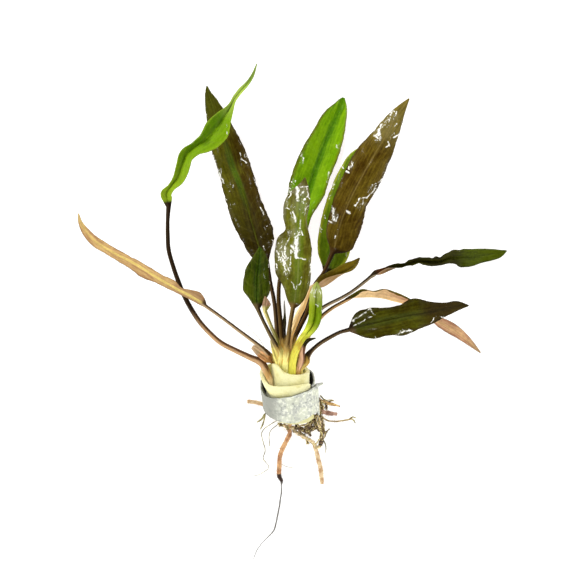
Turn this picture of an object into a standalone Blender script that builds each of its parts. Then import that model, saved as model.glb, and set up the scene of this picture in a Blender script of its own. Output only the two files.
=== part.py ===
"""A bare-root bunch of cryptocoryne lying on its back: leaves on long stalks, a foam band and a
soft metal weight strip round their bases, and roots. Metres, +Z up, the surface at z = 0."""

import math

import bmesh
import bpy
import numpy as np
from mathutils import Vector

MM = 0.001

# The base leans back: its axis rises RISE_DEG out of the surface, towards +Y.
RISE_DEG = 22.0
STRIP_TOP = np.array([-1.6, -33.5, 14.1])
LEAN = 0.13            # sideways lean of the part below the strip's top edge
ACROSS = np.array([1.0, 0.0, 0.0])
ALONG = np.array([0.0, math.cos(math.radians(RISE_DEG)), math.sin(math.radians(RISE_DEG))])
FRONT = np.cross(ACROSS, ALONG)

CROWN_RADIUS = 6.9
CROWN_TOP = -0.5
CROWN_LENGTH = 13.5
OUTER_SLOTS = 5.5      # the stalks stand in two rings on the crown
INNER_SLOTS = 2.2
FOAM_TOP = 9.0
FOAM_THICK = 1.7
STRIP_THICK = 0.9
BLADE_HALF = 0.4       # half the blade's thickness
SHEATH_RADIUS = 1.35   # a stalk inside the foam
SHEATH_HEIGHTS = (0.0, 5.0, FOAM_TOP)

# How finely the shapes are cut: lengths in mm along leaves and roots, degrees round the bands.
STALK_STEP = 8.0
BLADE_STEP = 4.6
ROOT_STEP = 3.0
THIN_ROOT_STEP = 4.5
THIN_ROOT = 0.5        # a root with a smaller radius than this has the longer step
FOAM_STEP = 15.0
STRIP_STEP = 12.0
CROWN_STEPS = 16

# A section has eight points. Those between its edge and its middle stand this share of the
# way out to the edge, and on a stalk this share of the way up too.
RING_POINTS = 8
ROUND_SHOULDER = 0.71
FLAT_SHOULDER = 0.55

# The crown's turned profile: share of its radius, share of its length from the top.
CROWN_PROFILE = [(0, 0), (0.86, 0.04), (1, 0.16), (0.98, 0.75), (0.8, 0.93), (0.4, 0.99), (0, 1)]

# Each leaf: the slot of its stalk on the crown (ring radius, angle), the stalk's points
# (x, y, z, radius) and the blade's stations. A station is the midrib's point, then for the
# left and the right margin how far it stands to the side and how far it rises, in mm.
# "turned" marks a leaf that shows its underside.
LEAVES = {
    "leaf_curled_left": {
        "slot": None, "colour": (0.20, 0.38, 0.03),
        "stalk": [(-9.1, -33.6, 21.2, 0.5), (-9.9, -30.9, 21.8, 0.9), (-11.5, -27, 21.8, 1.2),
                  (-13.7, -23, 20.3, 1.3), (-19.1, -20.3, 18, 1.2), (-25.9, -17.1, 16.2, 1.2),
                  (-32.6, -13.5, 15, 1.15), (-37.1, -9.5, 14.5, 1.1), (-41.6, -4.5, 14, 1.1),
                  (-45.7, 1.8, 13.5, 1.1), (-48.8, 7.7, 13.5, 1.1), (-51.5, 14.4, 14, 1.05),
                  (-53.8, 21.2, 15, 1), (-55.6, 27.9, 16.5, 1), (-56, 34.7, 18, 0.95),
                  (-56, 41.4, 20, 0.9)],
        "blade": [(-55.6, 47.3, 22, 1.1, 0, 1.1, 0), (-56.1, 50.2, 23, 2, 0.8, 2, 1),
                  (-56.4, 53, 24, 2.8, 1, 2.4, 2), (-54.6, 56, 25, 1.6, 1, 2, 2.5),
                  (-51.5, 59.9, 26.3, 2.3, 1, 2.9, 3), (-49.3, 65.7, 28, 2.9, 1, 3.6, 3.5),
                  (-47.4, 70.4, 29.2, 3.4, 1, 3.4, 3.5), (-43.6, 73.9, 29.8, 2.6, 1, 3.9, 3.5),
                  (-38.8, 77, 29.6, 3.8, 1, 5.6, 3), (-34.4, 81.9, 28.4, 5.2, 1, 6.2, 2.5),
                  (-30.8, 86.9, 26.4, 4, 1, 3.4, 2.5), (-28.1, 91.4, 24, 1.6, 2, 1.6, 2.5),
                  (-25.9, 95.9, 21, 1.1, 2, 1.1, 2), (-23.6, 99, 18.5, 1.3, 1.2, 1.2, 1.2),
                  (-20.5, 102.4, 15, 1, 0.5, 1, 0.5), (-18.2, 105.8, 11.5, 0.8, 0.2, 0.8, 0.2),
                  (-16, 111.6, 6.5, 0.25, 0, 0.25, 0)],
    },
    "leaf_long_left": {
        "slot": (OUTER_SLOTS, 173), "colour": (0.72, 0.47, 0.24), "turned": True,
        "stalk": [(-9.2, -20.3, 21, 1.2), (-11.9, -17.6, 22.5, 1), (-16.4, -14, 24.5, 0.9),
                  (-23.6, -8.6, 27, 0.8), (-32.6, -1.8, 29, 0.75)],
        "blade": [(-38.9, 2.7, 30, 0.8, 0, 0.8, 0), (-41, 4.3, 30, 1.3, -0.5, 2.6, -0.8),
                  (-43.9, 6.1, 30, 1.5, -1, 3.6, -1.5), (-47, 7.9, 29.8, 1.5, -1, 2.4, -1.2),
                  (-49.7, 9.2, 29.5, 1.6, -1, 1.6, -1), (-55.1, 12.2, 28, 1.9, -1.2, 2.9, -1.6),
                  (-60.5, 15.3, 26, 2.3, -1.4, 2.2, -1.4),
                  (-66.4, 19.1, 23.4, 3.7, -1.8, 2.2, -1.5),
                  (-72.2, 22.5, 20.2, 3, -1.6, 1.9, -1.4),
                  (-77.6, 25.2, 16.8, 2.5, -1.5, 2.1, -1.4),
                  (-83.5, 28.4, 12.4, 2.3, -1.2, 2.3, -1.2),
                  (-88.9, 32, 7.8, 2.3, -0.8, 2.1, -0.8), (-92.9, 36.5, 3.6, 2, -0.4, 1.5, -0.4),
                  (-95.3, 40.8, 1.2, 1.2, 0, 0.6, 0), (-96.3, 44.3, 0.4, 0.3, 0, 0.3, 0)],
    },
    "leaf_rear_left": {
        "slot": (OUTER_SLOTS, -154), "colour": (0.09, 0.07, 0.01),
        "stalk": [(-6.8, -14.9, 15.5, 1.2), (-7.3, -3.6, 16, 1), (-8.3, 5.4, 16, 0.95),
                  (-9.7, 12.2, 15.7, 0.9), (-11, 20, 14.5, 0.95)],
        "blade": [(-11.9, 22.5, 14, 1.5, 0, 1.5, 0), (-13.7, 25.7, 13.2, 4.2, 1, 4, 1),
                  (-16, 32.4, 11.2, 6.4, 1.5, 7.3, 2), (-18.7, 41.4, 8.8, 8.2, 1.5, 7.5, 2.5),
                  (-20.9, 49, 6.8, 8.5, 1, 6.9, 2.5), (-23.6, 57.2, 4.8, 8, 1.5, 7.2, 2),
                  (-26.8, 64.8, 3.2, 6.7, 2, 8, 1), (-29.3, 72.9, 1.8, 6.9, 1, 7.3, 0.5),
                  (-31.7, 80.6, 0.8, 5.9, 0.3, 5.9, 0.3), (-34, 87.3, 0.4, 4.7, 0, 4.6, 0),
                  (-36.2, 93.2, 0.4, 3.2, 0, 3.4, 0), (-38, 98.6, 0.4, 1.4, 0, 1.5, 0),
                  (-38.5, 101.7, 0.4, 0.3, 0, 0.3, 0)],
    },
    "leaf_short_dark": {
        "slot": (OUTER_SLOTS, 140), "colour": (0.05, 0.10, 0.01),
        "stalk": [(-5.2, -19.4, 24, 1.3), (-7.9, -14, 26, 1), (-10.3, -9.5, 27.5, 0.9),
                  (-13.7, -2.7, 29.5, 0.8)],
        "blade": [(-15.5, 1.4, 31, 1, 0, 1, 0), (-16, 5.4, 32, 2.9, 0.5, 4, 0.5),
                  (-16, 9.9, 32.6, 6.1, 1.2, 6.1, 1.2), (-16, 14.4, 32.8, 5.9, 1.5, 5.9, 1.5),
                  (-15.5, 18.9, 32.5, 5.4, 1.5, 5, 1.2), (-15, 23.4, 31.6, 3.4, 0.8, 4.2, 0.8),
                  (-14.7, 27, 30.6, 1.6, 0.3, 2.2, 0.3), (-14.6, 29.3, 30, 0.3, 0, 0.3, 0)],
    },
    "leaf_front_mottled": {
        "slot": (OUTER_SLOTS, 108), "colour": (0.17, 0.18, 0.04),
        "stalk": [(-2.9, -19.4, 26, 1.3), (-2, -12.6, 29, 1.1), (-1.1, -5.9, 31.5, 1)],
        "blade": [(0.2, 1.8, 33.5, 1, 0, 1, 0), (0.8, 4.5, 34.2, 3, 0.5, 3.2, 0.5),
                  (1.6, 9.9, 35.4, 5.4, 1, 5.4, 0.8), (2.5, 16.7, 36.8, 10, 1.5, 5.8, 0.5),
                  (2.7, 22.5, 37.8, 10.6, 1.5, 5.6, 0), (2.9, 28.8, 38.6, 10.6, 1, 5.8, 0),
                  (3.4, 34.7, 39, 9, 0.5, 4.2, 0.5), (3.6, 41.4, 39, 7.4, 0.5, 3.4, 0.8),
                  (3.8, 48.2, 38.4, 7.6, 0.5, 3.8, 0.5), (4.7, 54, 37.2, 4.8, 0, 3.2, 0),
                  (5.3, 58, 36.2, 1.6, 0, 1.4, 0), (5.6, 60.3, 35.5, 0.3, 0, 0.3, 0)],
    },
    "leaf_rear_bright": {
        "slot": (INNER_SLOTS, -135), "colour": (0.16, 0.36, 0.02),
        "stalk": [(-4.4, -14.9, 17.7, 1.2), (-5.4, -3.6, 19.2, 1), (-6.2, 5.4, 19.2, 0.95),
                  (-6, 12.2, 18.6, 0.9), (-5, 18, 17.6, 0.9)],
        "blade": [(-2.5, 25.2, 16, 1.2, 0, 1.2, 0), (-0.7, 27.9, 15.3, 3, 0.5, 2.5, 0.5),
                  (1.6, 34.7, 13.5, 5, 1.2, 4, 1), (4.3, 44.6, 11.3, 7.3, 2, 4.9, 1.5),
                  (7, 53.6, 9.2, 9.2, 2, 7.3, 2), (10.1, 63, 7, 9.5, 2, 7.2, 1.5),
                  (13.1, 71.6, 4.9, 8.6, 2, 7.7, 1), (16.2, 79.7, 2.9, 7, 1.5, 7.1, 1),
                  (19.4, 86.9, 1.3, 6.1, 0.6, 5.1, 0.5), (22, 93, 0.5, 3.2, 0, 2.7, 0),
                  (22.6, 95.2, 0.4, 1.8, 0, 1.4, 0), (23, 96.5, 0.4, 0.6, 0, 0.6, 0)],
    },
    "leaf_rear_right": {
        "slot": (OUTER_SLOTS, -88), "colour": (0.22, 0.28, 0.02),
        "stalk": [(-1.1, -12.6, 12.8, 1.1), (1.6, -6.3, 13.4, 1), (4.7, -0.5, 13.9, 0.95),
                  (7.4, 6.3, 14, 0.9), (9.9, 12, 13.7, 0.9)],
        "blade": [(14.6, 18, 13, 1, 0, 1, 0), (15.6, 20.5, 12.8, 2.6, 0.3, 4.5, 0.3),
                  (16.6, 23.5, 12.4, 5.1, 0.6, 6.9, 0.6), (17.8, 27.9, 12, 6.8, 1, 8, 1),
                  (19.6, 36.9, 10.5, 7.5, 1.5, 7.5, 1), (21.4, 45.9, 9, 7.2, 1.5, 7, 1),
                  (23.6, 54, 7.5, 6.4, 1.2, 6, 1), (26.3, 61.7, 6, 5.7, 1, 5, 0.8),
                  (29.5, 69.3, 4, 4, 0.6, 3.6, 0.6), (33.5, 75.6, 2.5, 0.3, 0, 0.3, 0)],
    },
    "leaf_broad_brown": {
        "slot": (OUTER_SLOTS, -56), "colour": (0.13, 0.08, 0.01),
        "stalk": [(0.7, -12.6, 15.5, 1.1), (3.4, -6.8, 17, 1), (6.1, -1.4, 18.5, 0.95),
                  (8.3, 5.4, 19.5, 0.9), (10.6, 12.2, 20.3, 0.85), (14.6, 18.9, 21.3, 0.8)],
        "blade": [(18, 26.6, 22.5, 1.2, 0, 1.2, 0), (18.8, 29, 22.8, 2.4, 0.3, 6.8, -0.3),
                  (19.8, 33, 23.4, 4.7, 0.5, 8.5, -0.8), (21.8, 40.5, 24.8, 5.9, 1, 9.7, -1.5),
                  (25.9, 50.4, 26.5, 7.1, 1.5, 7.9, -2.5), (30.4, 59.4, 27.5, 7.8, 1, 8.8, -3),
                  (35.3, 68.4, 27, 8, -0.5, 8.2, -2), (40.7, 77.4, 25, 6.1, -1, 5.3, -1),
                  (45.7, 86.4, 21.5, 3.8, -0.5, 3.1, -0.5), (49.7, 92.3, 18.5, 1.8, 0, 1.2, 0),
                  (52.4, 95.9, 16.5, 0.3, 0, 0.3, 0)],
    },
    "leaf_short_folded": {
        "slot": (INNER_SLOTS, 45), "colour": (0.20, 0.15, 0.03),
        "stalk": [(-1.4, -14.9, 21.8, 1.1), (-1.1, -10.4, 22.8, 1), (0.2, -5.9, 23.8, 0.95),
                  (1.6, -1.4, 24.8, 0.9), (3.4, 2.3, 25.5, 0.9), (5.2, 5.6, 26.2, 0.9)],
        "blade": [(8.3, 11, 27, 0.9, 0.2, 0.9, 0.2), (11, 11, 27.8, 2.6, 1, -0.6, 1.6),
                  (13.8, 11.6, 28.5, 4.6, 1.2, -2.2, 3), (17.2, 13.6, 29, 4.6, 1.2, -2.4, 3),
                  (20.6, 16, 29, 3, 1.2, -0.8, 3), (23.8, 17.8, 28.8, 2.4, 1.2, 0.4, 2),
                  (26.6, 19.8, 28.4, 2.6, 0.8, 1.2, 1.2), (28.6, 22, 28, 1.4, 0.4, 0.9, 0.6),
                  (30.1, 24.3, 27.6, 0.3, 0, 0.3, 0)],
    },
    "leaf_long_right": {
        "slot": (INNER_SLOTS, -45), "colour": (0.06, 0.08, 0.01),
        "stalk": [(3.4, -17.1, 18.6, 1.1), (5.6, -11.7, 20.4, 1), (8.8, -4.5, 22.3, 0.9),
                  (13.3, 1.8, 23, 0.85), (16.9, 3.9, 23, 0.8), (21.4, 6.1, 22.6, 0.8),
                  (25.9, 8.7, 22, 0.75), (30.4, 12, 21.2, 0.75)],
        "blade": [(35.3, 15.9, 20.5, 0.9, 0.2, 0.7, 0.2), (39.4, 17, 20, 2.4, 1.2, -1.2, 3),
                  (43.9, 18.8, 19, 2, 2, -0.9, 3.4), (48.4, 20.3, 18, 1.1, 3.2, 0.2, 3.6),
                  (52.9, 21.8, 17, 1.4, 3.5, 1.1, 3), (57.4, 22.8, 15.5, 1.3, 3.6, 1.1, 2.8),
                  (61.9, 22.6, 14, 2.2, 3.2, 1.8, 2.2), (66.4, 22.7, 12, 2.1, 3, 1.8, 2),
                  (70.9, 24.2, 9.8, 3.4, 2, 2.7, 1.5), (75.4, 24.3, 7.2, 3.9, 1.5, 4.2, 1),
                  (79.9, 24.5, 4.9, 3.9, 1, 4.1, 0.6), (84.4, 25.2, 2.9, 3.3, 0.6, 3.2, 0.3),
                  (88.9, 25.9, 1.4, 2.6, 0.2, 2.9, 0.1), (93.4, 26.6, 0.5, 1.5, 0, 2, 0),
                  (96.4, 27.6, 0.4, 0.3, 0, 0.3, 0)],
    },
    "leaf_tan_right": {
        "slot": (OUTER_SLOTS, -23), "colour": (0.62, 0.38, 0.17),
        "stalk": [(5.2, -14.9, 15.6, 1.1), (7.9, -9.5, 15.7, 1), (10.6, -5, 15.7, 0.9),
                  (13.5, -1.6, 15.5, 0.85), (18.2, 2, 15, 0.8)],
        "blade": [(23.6, 5, 14.5, 0.8, 0.2, 0.8, 0.2), (27.5, 6.4, 14.2, 2, 1.5, -0.2, 1.8),
                  (31.5, 6.8, 13.8, 3.6, 1.2, -2.6, 3.6), (36, 6.8, 13.2, 2.9, 1.4, -2.3, 3.6),
                  (40.5, 6.4, 12.6, 4.1, 1.4, -3.2, 3.4), (45, 5.2, 12, 3.8, 1.4, -2.9, 3.2),
                  (49.5, 4, 11.3, 3.4, 0.6, -2.6, 3), (54.5, 1.9, 10.3, 2.6, -1, -2.2, 2.6),
                  (60, -1.2, 8.6, 1, -2.6, -2.6, 1.8), (65, -4.3, 6.8, -1.4, -2.2, -2.6, 0.8),
                  (70, -6.8, 5, -2.4, -1.2, -2.9, 0.2), (75.4, -10.1, 3, -2.2, -0.6, -2.3, 0),
                  (80.3, -14.2, 1.5, -1.4, -0.2, -1.4, 0), (84.6, -18.3, 0.5, -0.3, 0, -0.3, 0)],
    },
    "leaf_broad_right": {
        "slot": (OUTER_SLOTS, 10), "colour": (0.07, 0.07, 0.01),
        "stalk": [(6.1, -20.3, 20, 1.2), (8.8, -17.1, 21.5, 1), (12.4, -14, 23, 0.95),
                  (16.9, -11.3, 24.5, 0.9), (21.4, -9, 25.5, 0.85)],
        "blade": [(25.4, -7.9, 26, 1, 0, 1, 0), (27.2, -7.5, 26.3, 3.6, 0.5, 2.2, 0.3),
                  (29.5, -6.8, 26.6, 5.9, 1, 4.2, 0.5), (34.9, -5.4, 27.2, 7.3, 1.5, 6.7, 1),
                  (41.6, -3.8, 27.2, 6, 1.5, 6.9, 1), (48.4, -2.3, 26.4, 5.4, 1, 8.4, 0.8),
                  (55.1, -1.1, 24.8, 7.3, 0.5, 6.9, 0.5), (61.9, 0, 22.4, 4.9, 0.3, 5.3, 0.3),
                  (68.6, 1.4, 19.2, 2.9, 0.3, 3.3, 0.3), (74.5, 2.5, 16, 2.5, 0, 1.8, 0),
                  (79.2, 2.9, 13.5, 0.3, 0, 0.3, 0)],
    },
    "leaf_young": {
        "slot": (OUTER_SLOTS, 75), "colour": (0.42, 0.55, 0.05),
        "stalk": [(0.7, -19.4, 25.5, 1.7), (2.5, -14.9, 27.3, 1.7)],
        "blade": [(4.7, -11.3, 29, 1.6, 0.3, 1.6, 0.3), (7.4, -8.6, 31, 2.2, 1.5, 2, 1.5),
                  (9.5, -5, 33, 2.9, 2.2, 2.6, 2.2), (10.3, 0, 34.5, 2.9, 2.5, 2.9, 2.5),
                  (10.6, 5.4, 35.3, 3.1, 2, 2.8, 2), (10.6, 9.9, 35.3, 2.4, 1.2, 2.5, 1.2),
                  (11, 13.5, 34.8, 0.4, 0, 0.4, 0)],
    },
    "leaf_scale": {
        "slot": (OUTER_SLOTS, 42), "colour": (0.10, 0.03, 0.03),
        "stalk": [(4, -21.6, 22.8, 1.4)],
        "blade": [(4.3, -17.5, 24.6, 1.4, 0.5, 1.3, 0.5), (5.2, -14.4, 26, 1.1, 0.5, 1.2, 0.4),
                  (7.3, -12.5, 27, 0.8, 0.3, 0.9, 0.3), (10.4, -11.7, 27.8, 0.25, 0, 0.25, 0)],
    },
    "leaf_bud": {
        "slot": (INNER_SLOTS, 135), "colour": (0.60, 0.48, 0.20),
        "stalk": [(-5.6, -18, 20.8, 1), (-7, -12.6, 23.5, 0.9), (-9.8, -5.9, 28.2, 0.8)],
        "blade": [(-12.4, 0.4, 31.8, 0.8, 0, 1, 0), (-12.6, 2.8, 33, 1, 0.5, 2.9, -1.3),
                  (-12.4, 4.8, 33.8, 0.9, 0.5, 2, -0.9), (-12.2, 7, 34.6, 0.3, 0, 0.3, 0)],
    },
    "stalk_dead": {
        "slot": (OUTER_SLOTS, -121), "colour": (0.03, 0.02, 0.02),
        "stalk": [(-3.7, -14.9, 14.2, 1.1)],
        "blade": [(-4, -8.1, 16, 1, 0.1, 1, 0.1), (-3.6, -4.6, 17, 1.1, 0.3, 0.9, 0.3),
                  (-3.4, -1.8, 17.6, 0.6, 0.2, 0.5, 0.2)],
    },
}

# The foam band, one strip wound outwards: angle round the base, centre radius at the bottom
# and at the top edge, height of the bottom, of the bend and of the top edge along the axis.
FOAM = [(128, 8.35, 8.35, -11.5, 0, 12.7), (110, 8.35, 8.35, -11.5, 0, 10.6),
        (90, 8.35, 8.35, -11.5, 0, 9.4), (50, 8.35, 8.35, -11.5, 0, 8.3),
        (0, 8.35, 8.4, -11.5, 0, 7.5), (-50, 8.5, 8.6, -11.5, 0, 7.8),
        (-90, 8.8, 9.2, -11.5, 3, 8), (-130, 9.4, 10.6, -11.5, 4, 8.2),
        (-160, 9.8, 11.6, -11.7, 2.4, 8.2), (-180, 9.7, 12.2, -12, 0.8, 8),
        (-206, 9.3, 12.7, -12.6, -2, 5.8), (-217, 9.4, 12.8, -13, -3, 4.6),
        (-230, 9.9, 12.3, -13.4, -2.6, 4), (-250, 10.35, 11.3, -13.8, -1, 4.1),
        (-270, 10.35, 10.5, -13.8, 0.2, 4.3), (-310, 10.35, 10.4, -13.8, 1.4, 4.3),
        (-332, 10.3, 10.3, -12.8, 1.6, 3.4)]

# The weight strip: angle, centre radius, height of the bottom and of the top edge.
STRIP = [(22, 11, -10.2, 1.9), (0, 11.2, -10.4, 2.2), (-30, 11.8, -8.6, 4.6),
         (-60, 12.05, -7.2, 5), (-90, 12.05, -6.6, 5), (-120, 12.05, -6.8, 4.6),
         (-150, 12.05, -7.8, 3.8), (-180, 12.05, -9.3, 2.6), (-197, 12.05, -10.4, 0.4),
         (-214, 12.05, -11.4, -1.7), (-240, 12.05, -12.3, -1.3), (-270, 12.05, -12.7, -0.1),
         (-300, 12.05, -11.3, 1.2), (-319, 12.1, -10.2, 1.6), (-335, 12.3, -10.1, 1.9),
         (-346, 12.45, -9.6, 2.1), (-351, 12.8, -1.6, 2.4), (-354, 15.6, 1.6, 2.8)]

# Roots: points (x, y, z, radius).
ROOTS = {
    "root_long": [(0.2, -47.6, 8.3, 0.9), (-1, -50.2, 7.7, 1), (-1.6, -52.2, 7, 1),
                  (-1.1, -54.2, 6.2, 1), (-2.5, -57.6, 4.8, 0.95), (-4.3, -61.2, 3.5, 0.95),
                  (-5.6, -64.8, 2.2, 0.9), (-5.9, -69.3, 1.2, 0.9), (-5.9, -72.5, 1, 0.85),
                  (-5.6, -75.3, 0.9, 0.75), (-5.2, -77.5, 0.5, 0.3), (-5.2, -81, 0.35, 0.25),
                  (-5.9, -86, 0.35, 0.25), (-7, -92.3, 0.35, 0.25), (-8.8, -99, 0.35, 0.25),
                  (-12.4, -102.6, 0.35, 0.25), (-16, -107.1, 0.35, 0.25),
                  (-17.6, -111.4, 0.35, 0.25)],
    "root_pale": [(2.4, -47.4, 7.4, 0.8), (2.9, -53.1, 5.9, 0.85), (6.5, -56.9, 4.6, 0.85),
                  (9.7, -59.6, 3.4, 0.85), (10.7, -62.5, 2.7, 0.85), (11.5, -66, 1.8, 0.85),
                  (12.6, -70.2, 1.1, 0.85), (13, -74, 0.95, 0.85), (13.3, -77.4, 0.9, 0.7)],
    "root_left": [(-3.8, -47.2, 7, 0.8), (-8, -46, 4.4, 0.85), (-11.8, -42.6, 3.3, 0.85),
                  (-15.6, -40.9, 3.5, 0.8), (-20.4, -40.2, 4.2, 0.7)],
    "root_mat": [(12.3, -40.8, 8.5, 0.7), (12.1, -44.9, 9, 1.2), (12.3, -49.1, 8.6, 1.9),
                 (12.6, -53, 7.5, 1.8), (12.8, -57, 6.1, 1.4), (11.8, -60, 5.3, 1.1)],
    "root_mat_base": [(3.1, -52.2, 9.2, 1.2), (5.6, -52.4, 9.4, 1.8), (8.1, -51.2, 9, 1.8)],
    "root_tan_right": [(13.5, -40.2, 8, 0.5), (16.9, -41.2, 7, 0.65), (21.4, -42.4, 5.6, 0.4)],
    "root_brown_right": [(13.9, -44.7, 8.4, 0.7), (16.8, -45.2, 7.5, 0.8), (20, -45.9, 6.4, 0.65)],
    "root_thin_right": [(14.7, -48.3, 7.6, 0.35), (18.8, -49.2, 6, 0.35),
                        (22.7, -48.8, 4.4, 0.3), (27, -48, 3, 0.3)],
}
ROOT_COLOUR = (0.55, 0.36, 0.2)
ROOT_COLOURS = {"root_long": (0.62, 0.36, 0.15), "root_pale": (0.75, 0.62, 0.38),
                "root_mat": (0.08, 0.05, 0.03), "root_mat_base": (0.08, 0.05, 0.03)}

# Finish of each kind of piece: roughness and metallic share, and the base's colours.
LEAF_FINISH = (0.35, 0.0)
ROOT_FINISH = (0.6, 0.0)
CROWN_FINISH = ((0.55, 0.42, 0.22), 0.7, 0.0)
FOAM_FINISH = ((0.86, 0.80, 0.56), 0.9, 0.0)
STRIP_FINISH = ((0.5, 0.52, 0.53), 0.5, 0.9)


def material(name, colour, roughness, metallic):
    made = bpy.data.materials.new(name)
    made.use_nodes = True
    shader = made.node_tree.nodes["Principled BSDF"]
    shader.inputs["Base Color"].default_value = (*colour, 1)
    shader.inputs["Roughness"].default_value = roughness
    shader.inputs["Metallic"].default_value = metallic
    return made


def place(data, name, finish, collection):
    made = bpy.data.objects.new(name, data)
    made.data.materials.append(finish)
    collection.objects.link(made)
    return made


def on_base(radius, angle, height):
    """A point round the base's axis, in mm, from its angle and its height along the axis."""
    lean = -LEAN * min(height, 0.0)
    turn = math.radians(angle)
    return (STRIP_TOP + ACROSS * (lean + radius * math.cos(turn))
            + FRONT * radius * math.sin(turn) + ALONG * height)


def smooth(rows, step, places=3):
    """Rows of numbers read along a smooth curve about every step; the first ones are its place."""
    rows = np.array(rows, dtype=float)
    gaps = np.linalg.norm(np.diff(rows[:, :places], axis=0), axis=1)
    at = np.concatenate([[0.0], np.cumsum(gaps)])
    slopes = np.gradient(rows, at, axis=0)
    out = [rows[0]]
    for i, gap in enumerate(gaps):
        count = max(1, round(gap / step))
        for t in np.linspace(0, 1, count + 1)[1:]:
            out.append((2 * t**3 - 3 * t**2 + 1) * rows[i] + (t**3 - 2 * t**2 + t) * gap * slopes[i]
                       + (3 * t**2 - 2 * t**3) * rows[i + 1] + (t**3 - t**2) * gap * slopes[i + 1])
    return np.array(out)


def leaf_sections(leaf):
    """Stations from the crown to the tip, with the stalk's share (1 round, 0 flat) added."""
    stalk = [(x, y, z, r, 0, r, 0) for x, y, z, r in leaf["stalk"]]
    if leaf["slot"]:
        ring, angle = leaf["slot"]
        stalk = [(*on_base(ring, angle, height), SHEATH_RADIUS, 0, SHEATH_RADIUS, 0)
                 for height in SHEATH_HEIGHTS] + stalk
    stalk = [(*row, 1.0) for row in stalk]
    blade = [(*row, 1.0 if i == 0 else 0.0) for i, row in enumerate(leaf["blade"])]
    first = smooth(stalk + blade[:1], STALK_STEP)
    second = smooth(blade, BLADE_STEP)
    return np.vstack([first, second[1:]])


def leaf_mesh(name, leaf):
    """One closed loft from a round stalk to a flat blade."""
    rows = leaf_sections(leaf)
    if leaf.get("turned"):
        rows[:, 3:7] = rows[:, [5, 6, 3, 4]] * [-1, 1, -1, 1]
    tangents = np.gradient(rows[:, :3], axis=0)
    rings = []
    for row, tangent in zip(rows, tangents):
        centre, round_share = row[:3], np.clip(row[7], 0, 1)
        side = np.cross(tangent, (0, 0, 1))
        side /= np.linalg.norm(side)
        up = np.cross(side, tangent)
        up /= np.linalg.norm(up)
        left = -side * row[3] + up * row[4]
        right = side * row[5] + up * row[6]
        left_top = side * row[4] + up * row[3]
        right_top = -side * row[6] + up * row[5]
        left_top /= np.linalg.norm(left_top)
        right_top /= np.linalg.norm(right_top)
        middle = left_top + right_top
        middle /= np.linalg.norm(middle)
        radius = abs(row[3])
        half = round_share * radius + (1 - round_share) * BLADE_HALF
        shoulder = round_share * ROUND_SHOULDER * radius + (1 - round_share) * BLADE_HALF
        inward = round_share * ROUND_SHOULDER + (1 - round_share) * FLAT_SHOULDER
        rings.append([centre + right,
                      centre + right * inward + right_top * shoulder, centre + middle * half,
                      centre + left * inward + left_top * shoulder, centre + left,
                      centre + left * inward - left_top * shoulder, centre - middle * half,
                      centre + right * inward - right_top * shoulder])
    mesh = bpy.data.meshes.new(name)
    bm = bmesh.new()
    loops = [[bm.verts.new(point * MM) for point in ring] for ring in rings]
    for here, there in zip(loops, loops[1:]):
        for k in range(RING_POINTS):
            after = (k + 1) % RING_POINTS
            bm.faces.new((here[k], here[after], there[after], there[k]))
    bm.faces.new(loops[0][::-1])
    bm.faces.new(loops[-1])
    bmesh.ops.recalc_face_normals(bm, faces=bm.faces)
    bm.to_mesh(mesh)
    bm.free()
    mesh.shade_smooth()
    return mesh


def band(name, rows, thick, finish, collection):
    """A band round the base: an open surface, one column of points for each row, made thick."""
    mesh = bpy.data.meshes.new(name)
    bm = bmesh.new()
    columns = [[bm.verts.new(on_base(radius, angle, height) * MM) for radius, height in column]
               for angle, column in rows]
    for here, there in zip(columns, columns[1:]):
        for k in range(len(here) - 1):
            bm.faces.new((here[k], there[k], there[k + 1], here[k + 1]))
    bm.to_mesh(mesh)
    bm.free()
    made = place(mesh, name, finish, collection)
    wall = made.modifiers.new("Wall", "SOLIDIFY")
    wall.thickness = thick * MM
    wall.offset = 0
    wall.use_even_offset = True
    return made


def add_crown(collection):
    """The rhizome: a turned, domed plug on the base's axis."""
    top = on_base(0, 0, CROWN_TOP)
    bottom = on_base(0, 0, CROWN_TOP - CROWN_LENGTH)
    mesh = bpy.data.meshes.new("crown")
    bm = bmesh.new()
    points = [bm.verts.new((r * CROWN_RADIUS * MM, 0, -h * CROWN_LENGTH * MM)) for r, h in CROWN_PROFILE]
    for a, b in zip(points, points[1:]):
        bm.edges.new((a, b))
    bm.to_mesh(mesh)
    bm.free()
    made = place(mesh, "crown", material("Crown", *CROWN_FINISH), collection)
    turned = made.modifiers.new("Turned", "SCREW")
    turned.steps = CROWN_STEPS
    turned.render_steps = CROWN_STEPS
    turned.use_merge_vertices = True
    turned.merge_threshold = 0.00001
    made.location = Vector(top * MM)
    made.rotation_euler = Vector(top - bottom).to_track_quat("Z", "Y").to_euler()


def add_root(name, rows, finish, collection):
    """A tapering tube along a smooth curve."""
    thin = max(row[3] for row in rows) < THIN_ROOT
    points = smooth(rows, THIN_ROOT_STEP if thin else ROOT_STEP)
    curve = bpy.data.curves.new(name, "CURVE")
    curve.dimensions = "3D"
    curve.bevel_depth = MM
    curve.bevel_resolution = 1
    curve.use_fill_caps = True
    spline = curve.splines.new("POLY")
    spline.points.add(len(points) - 1)
    for point, (x, y, z, radius) in zip(spline.points, points):
        point.co = (x * MM, y * MM, z * MM, 1)
        point.radius = radius
    place(curve, name, finish, collection)


for old in list(bpy.data.objects):
    bpy.data.objects.remove(old, do_unlink=True)
plant = bpy.data.collections.new("cryptocoryne")
bpy.context.scene.collection.children.link(plant)

for leaf_name, leaf in LEAVES.items():
    finish = material(leaf_name, leaf["colour"], *LEAF_FINISH)
    place(leaf_mesh(leaf_name, leaf), leaf_name, finish, plant)

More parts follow.
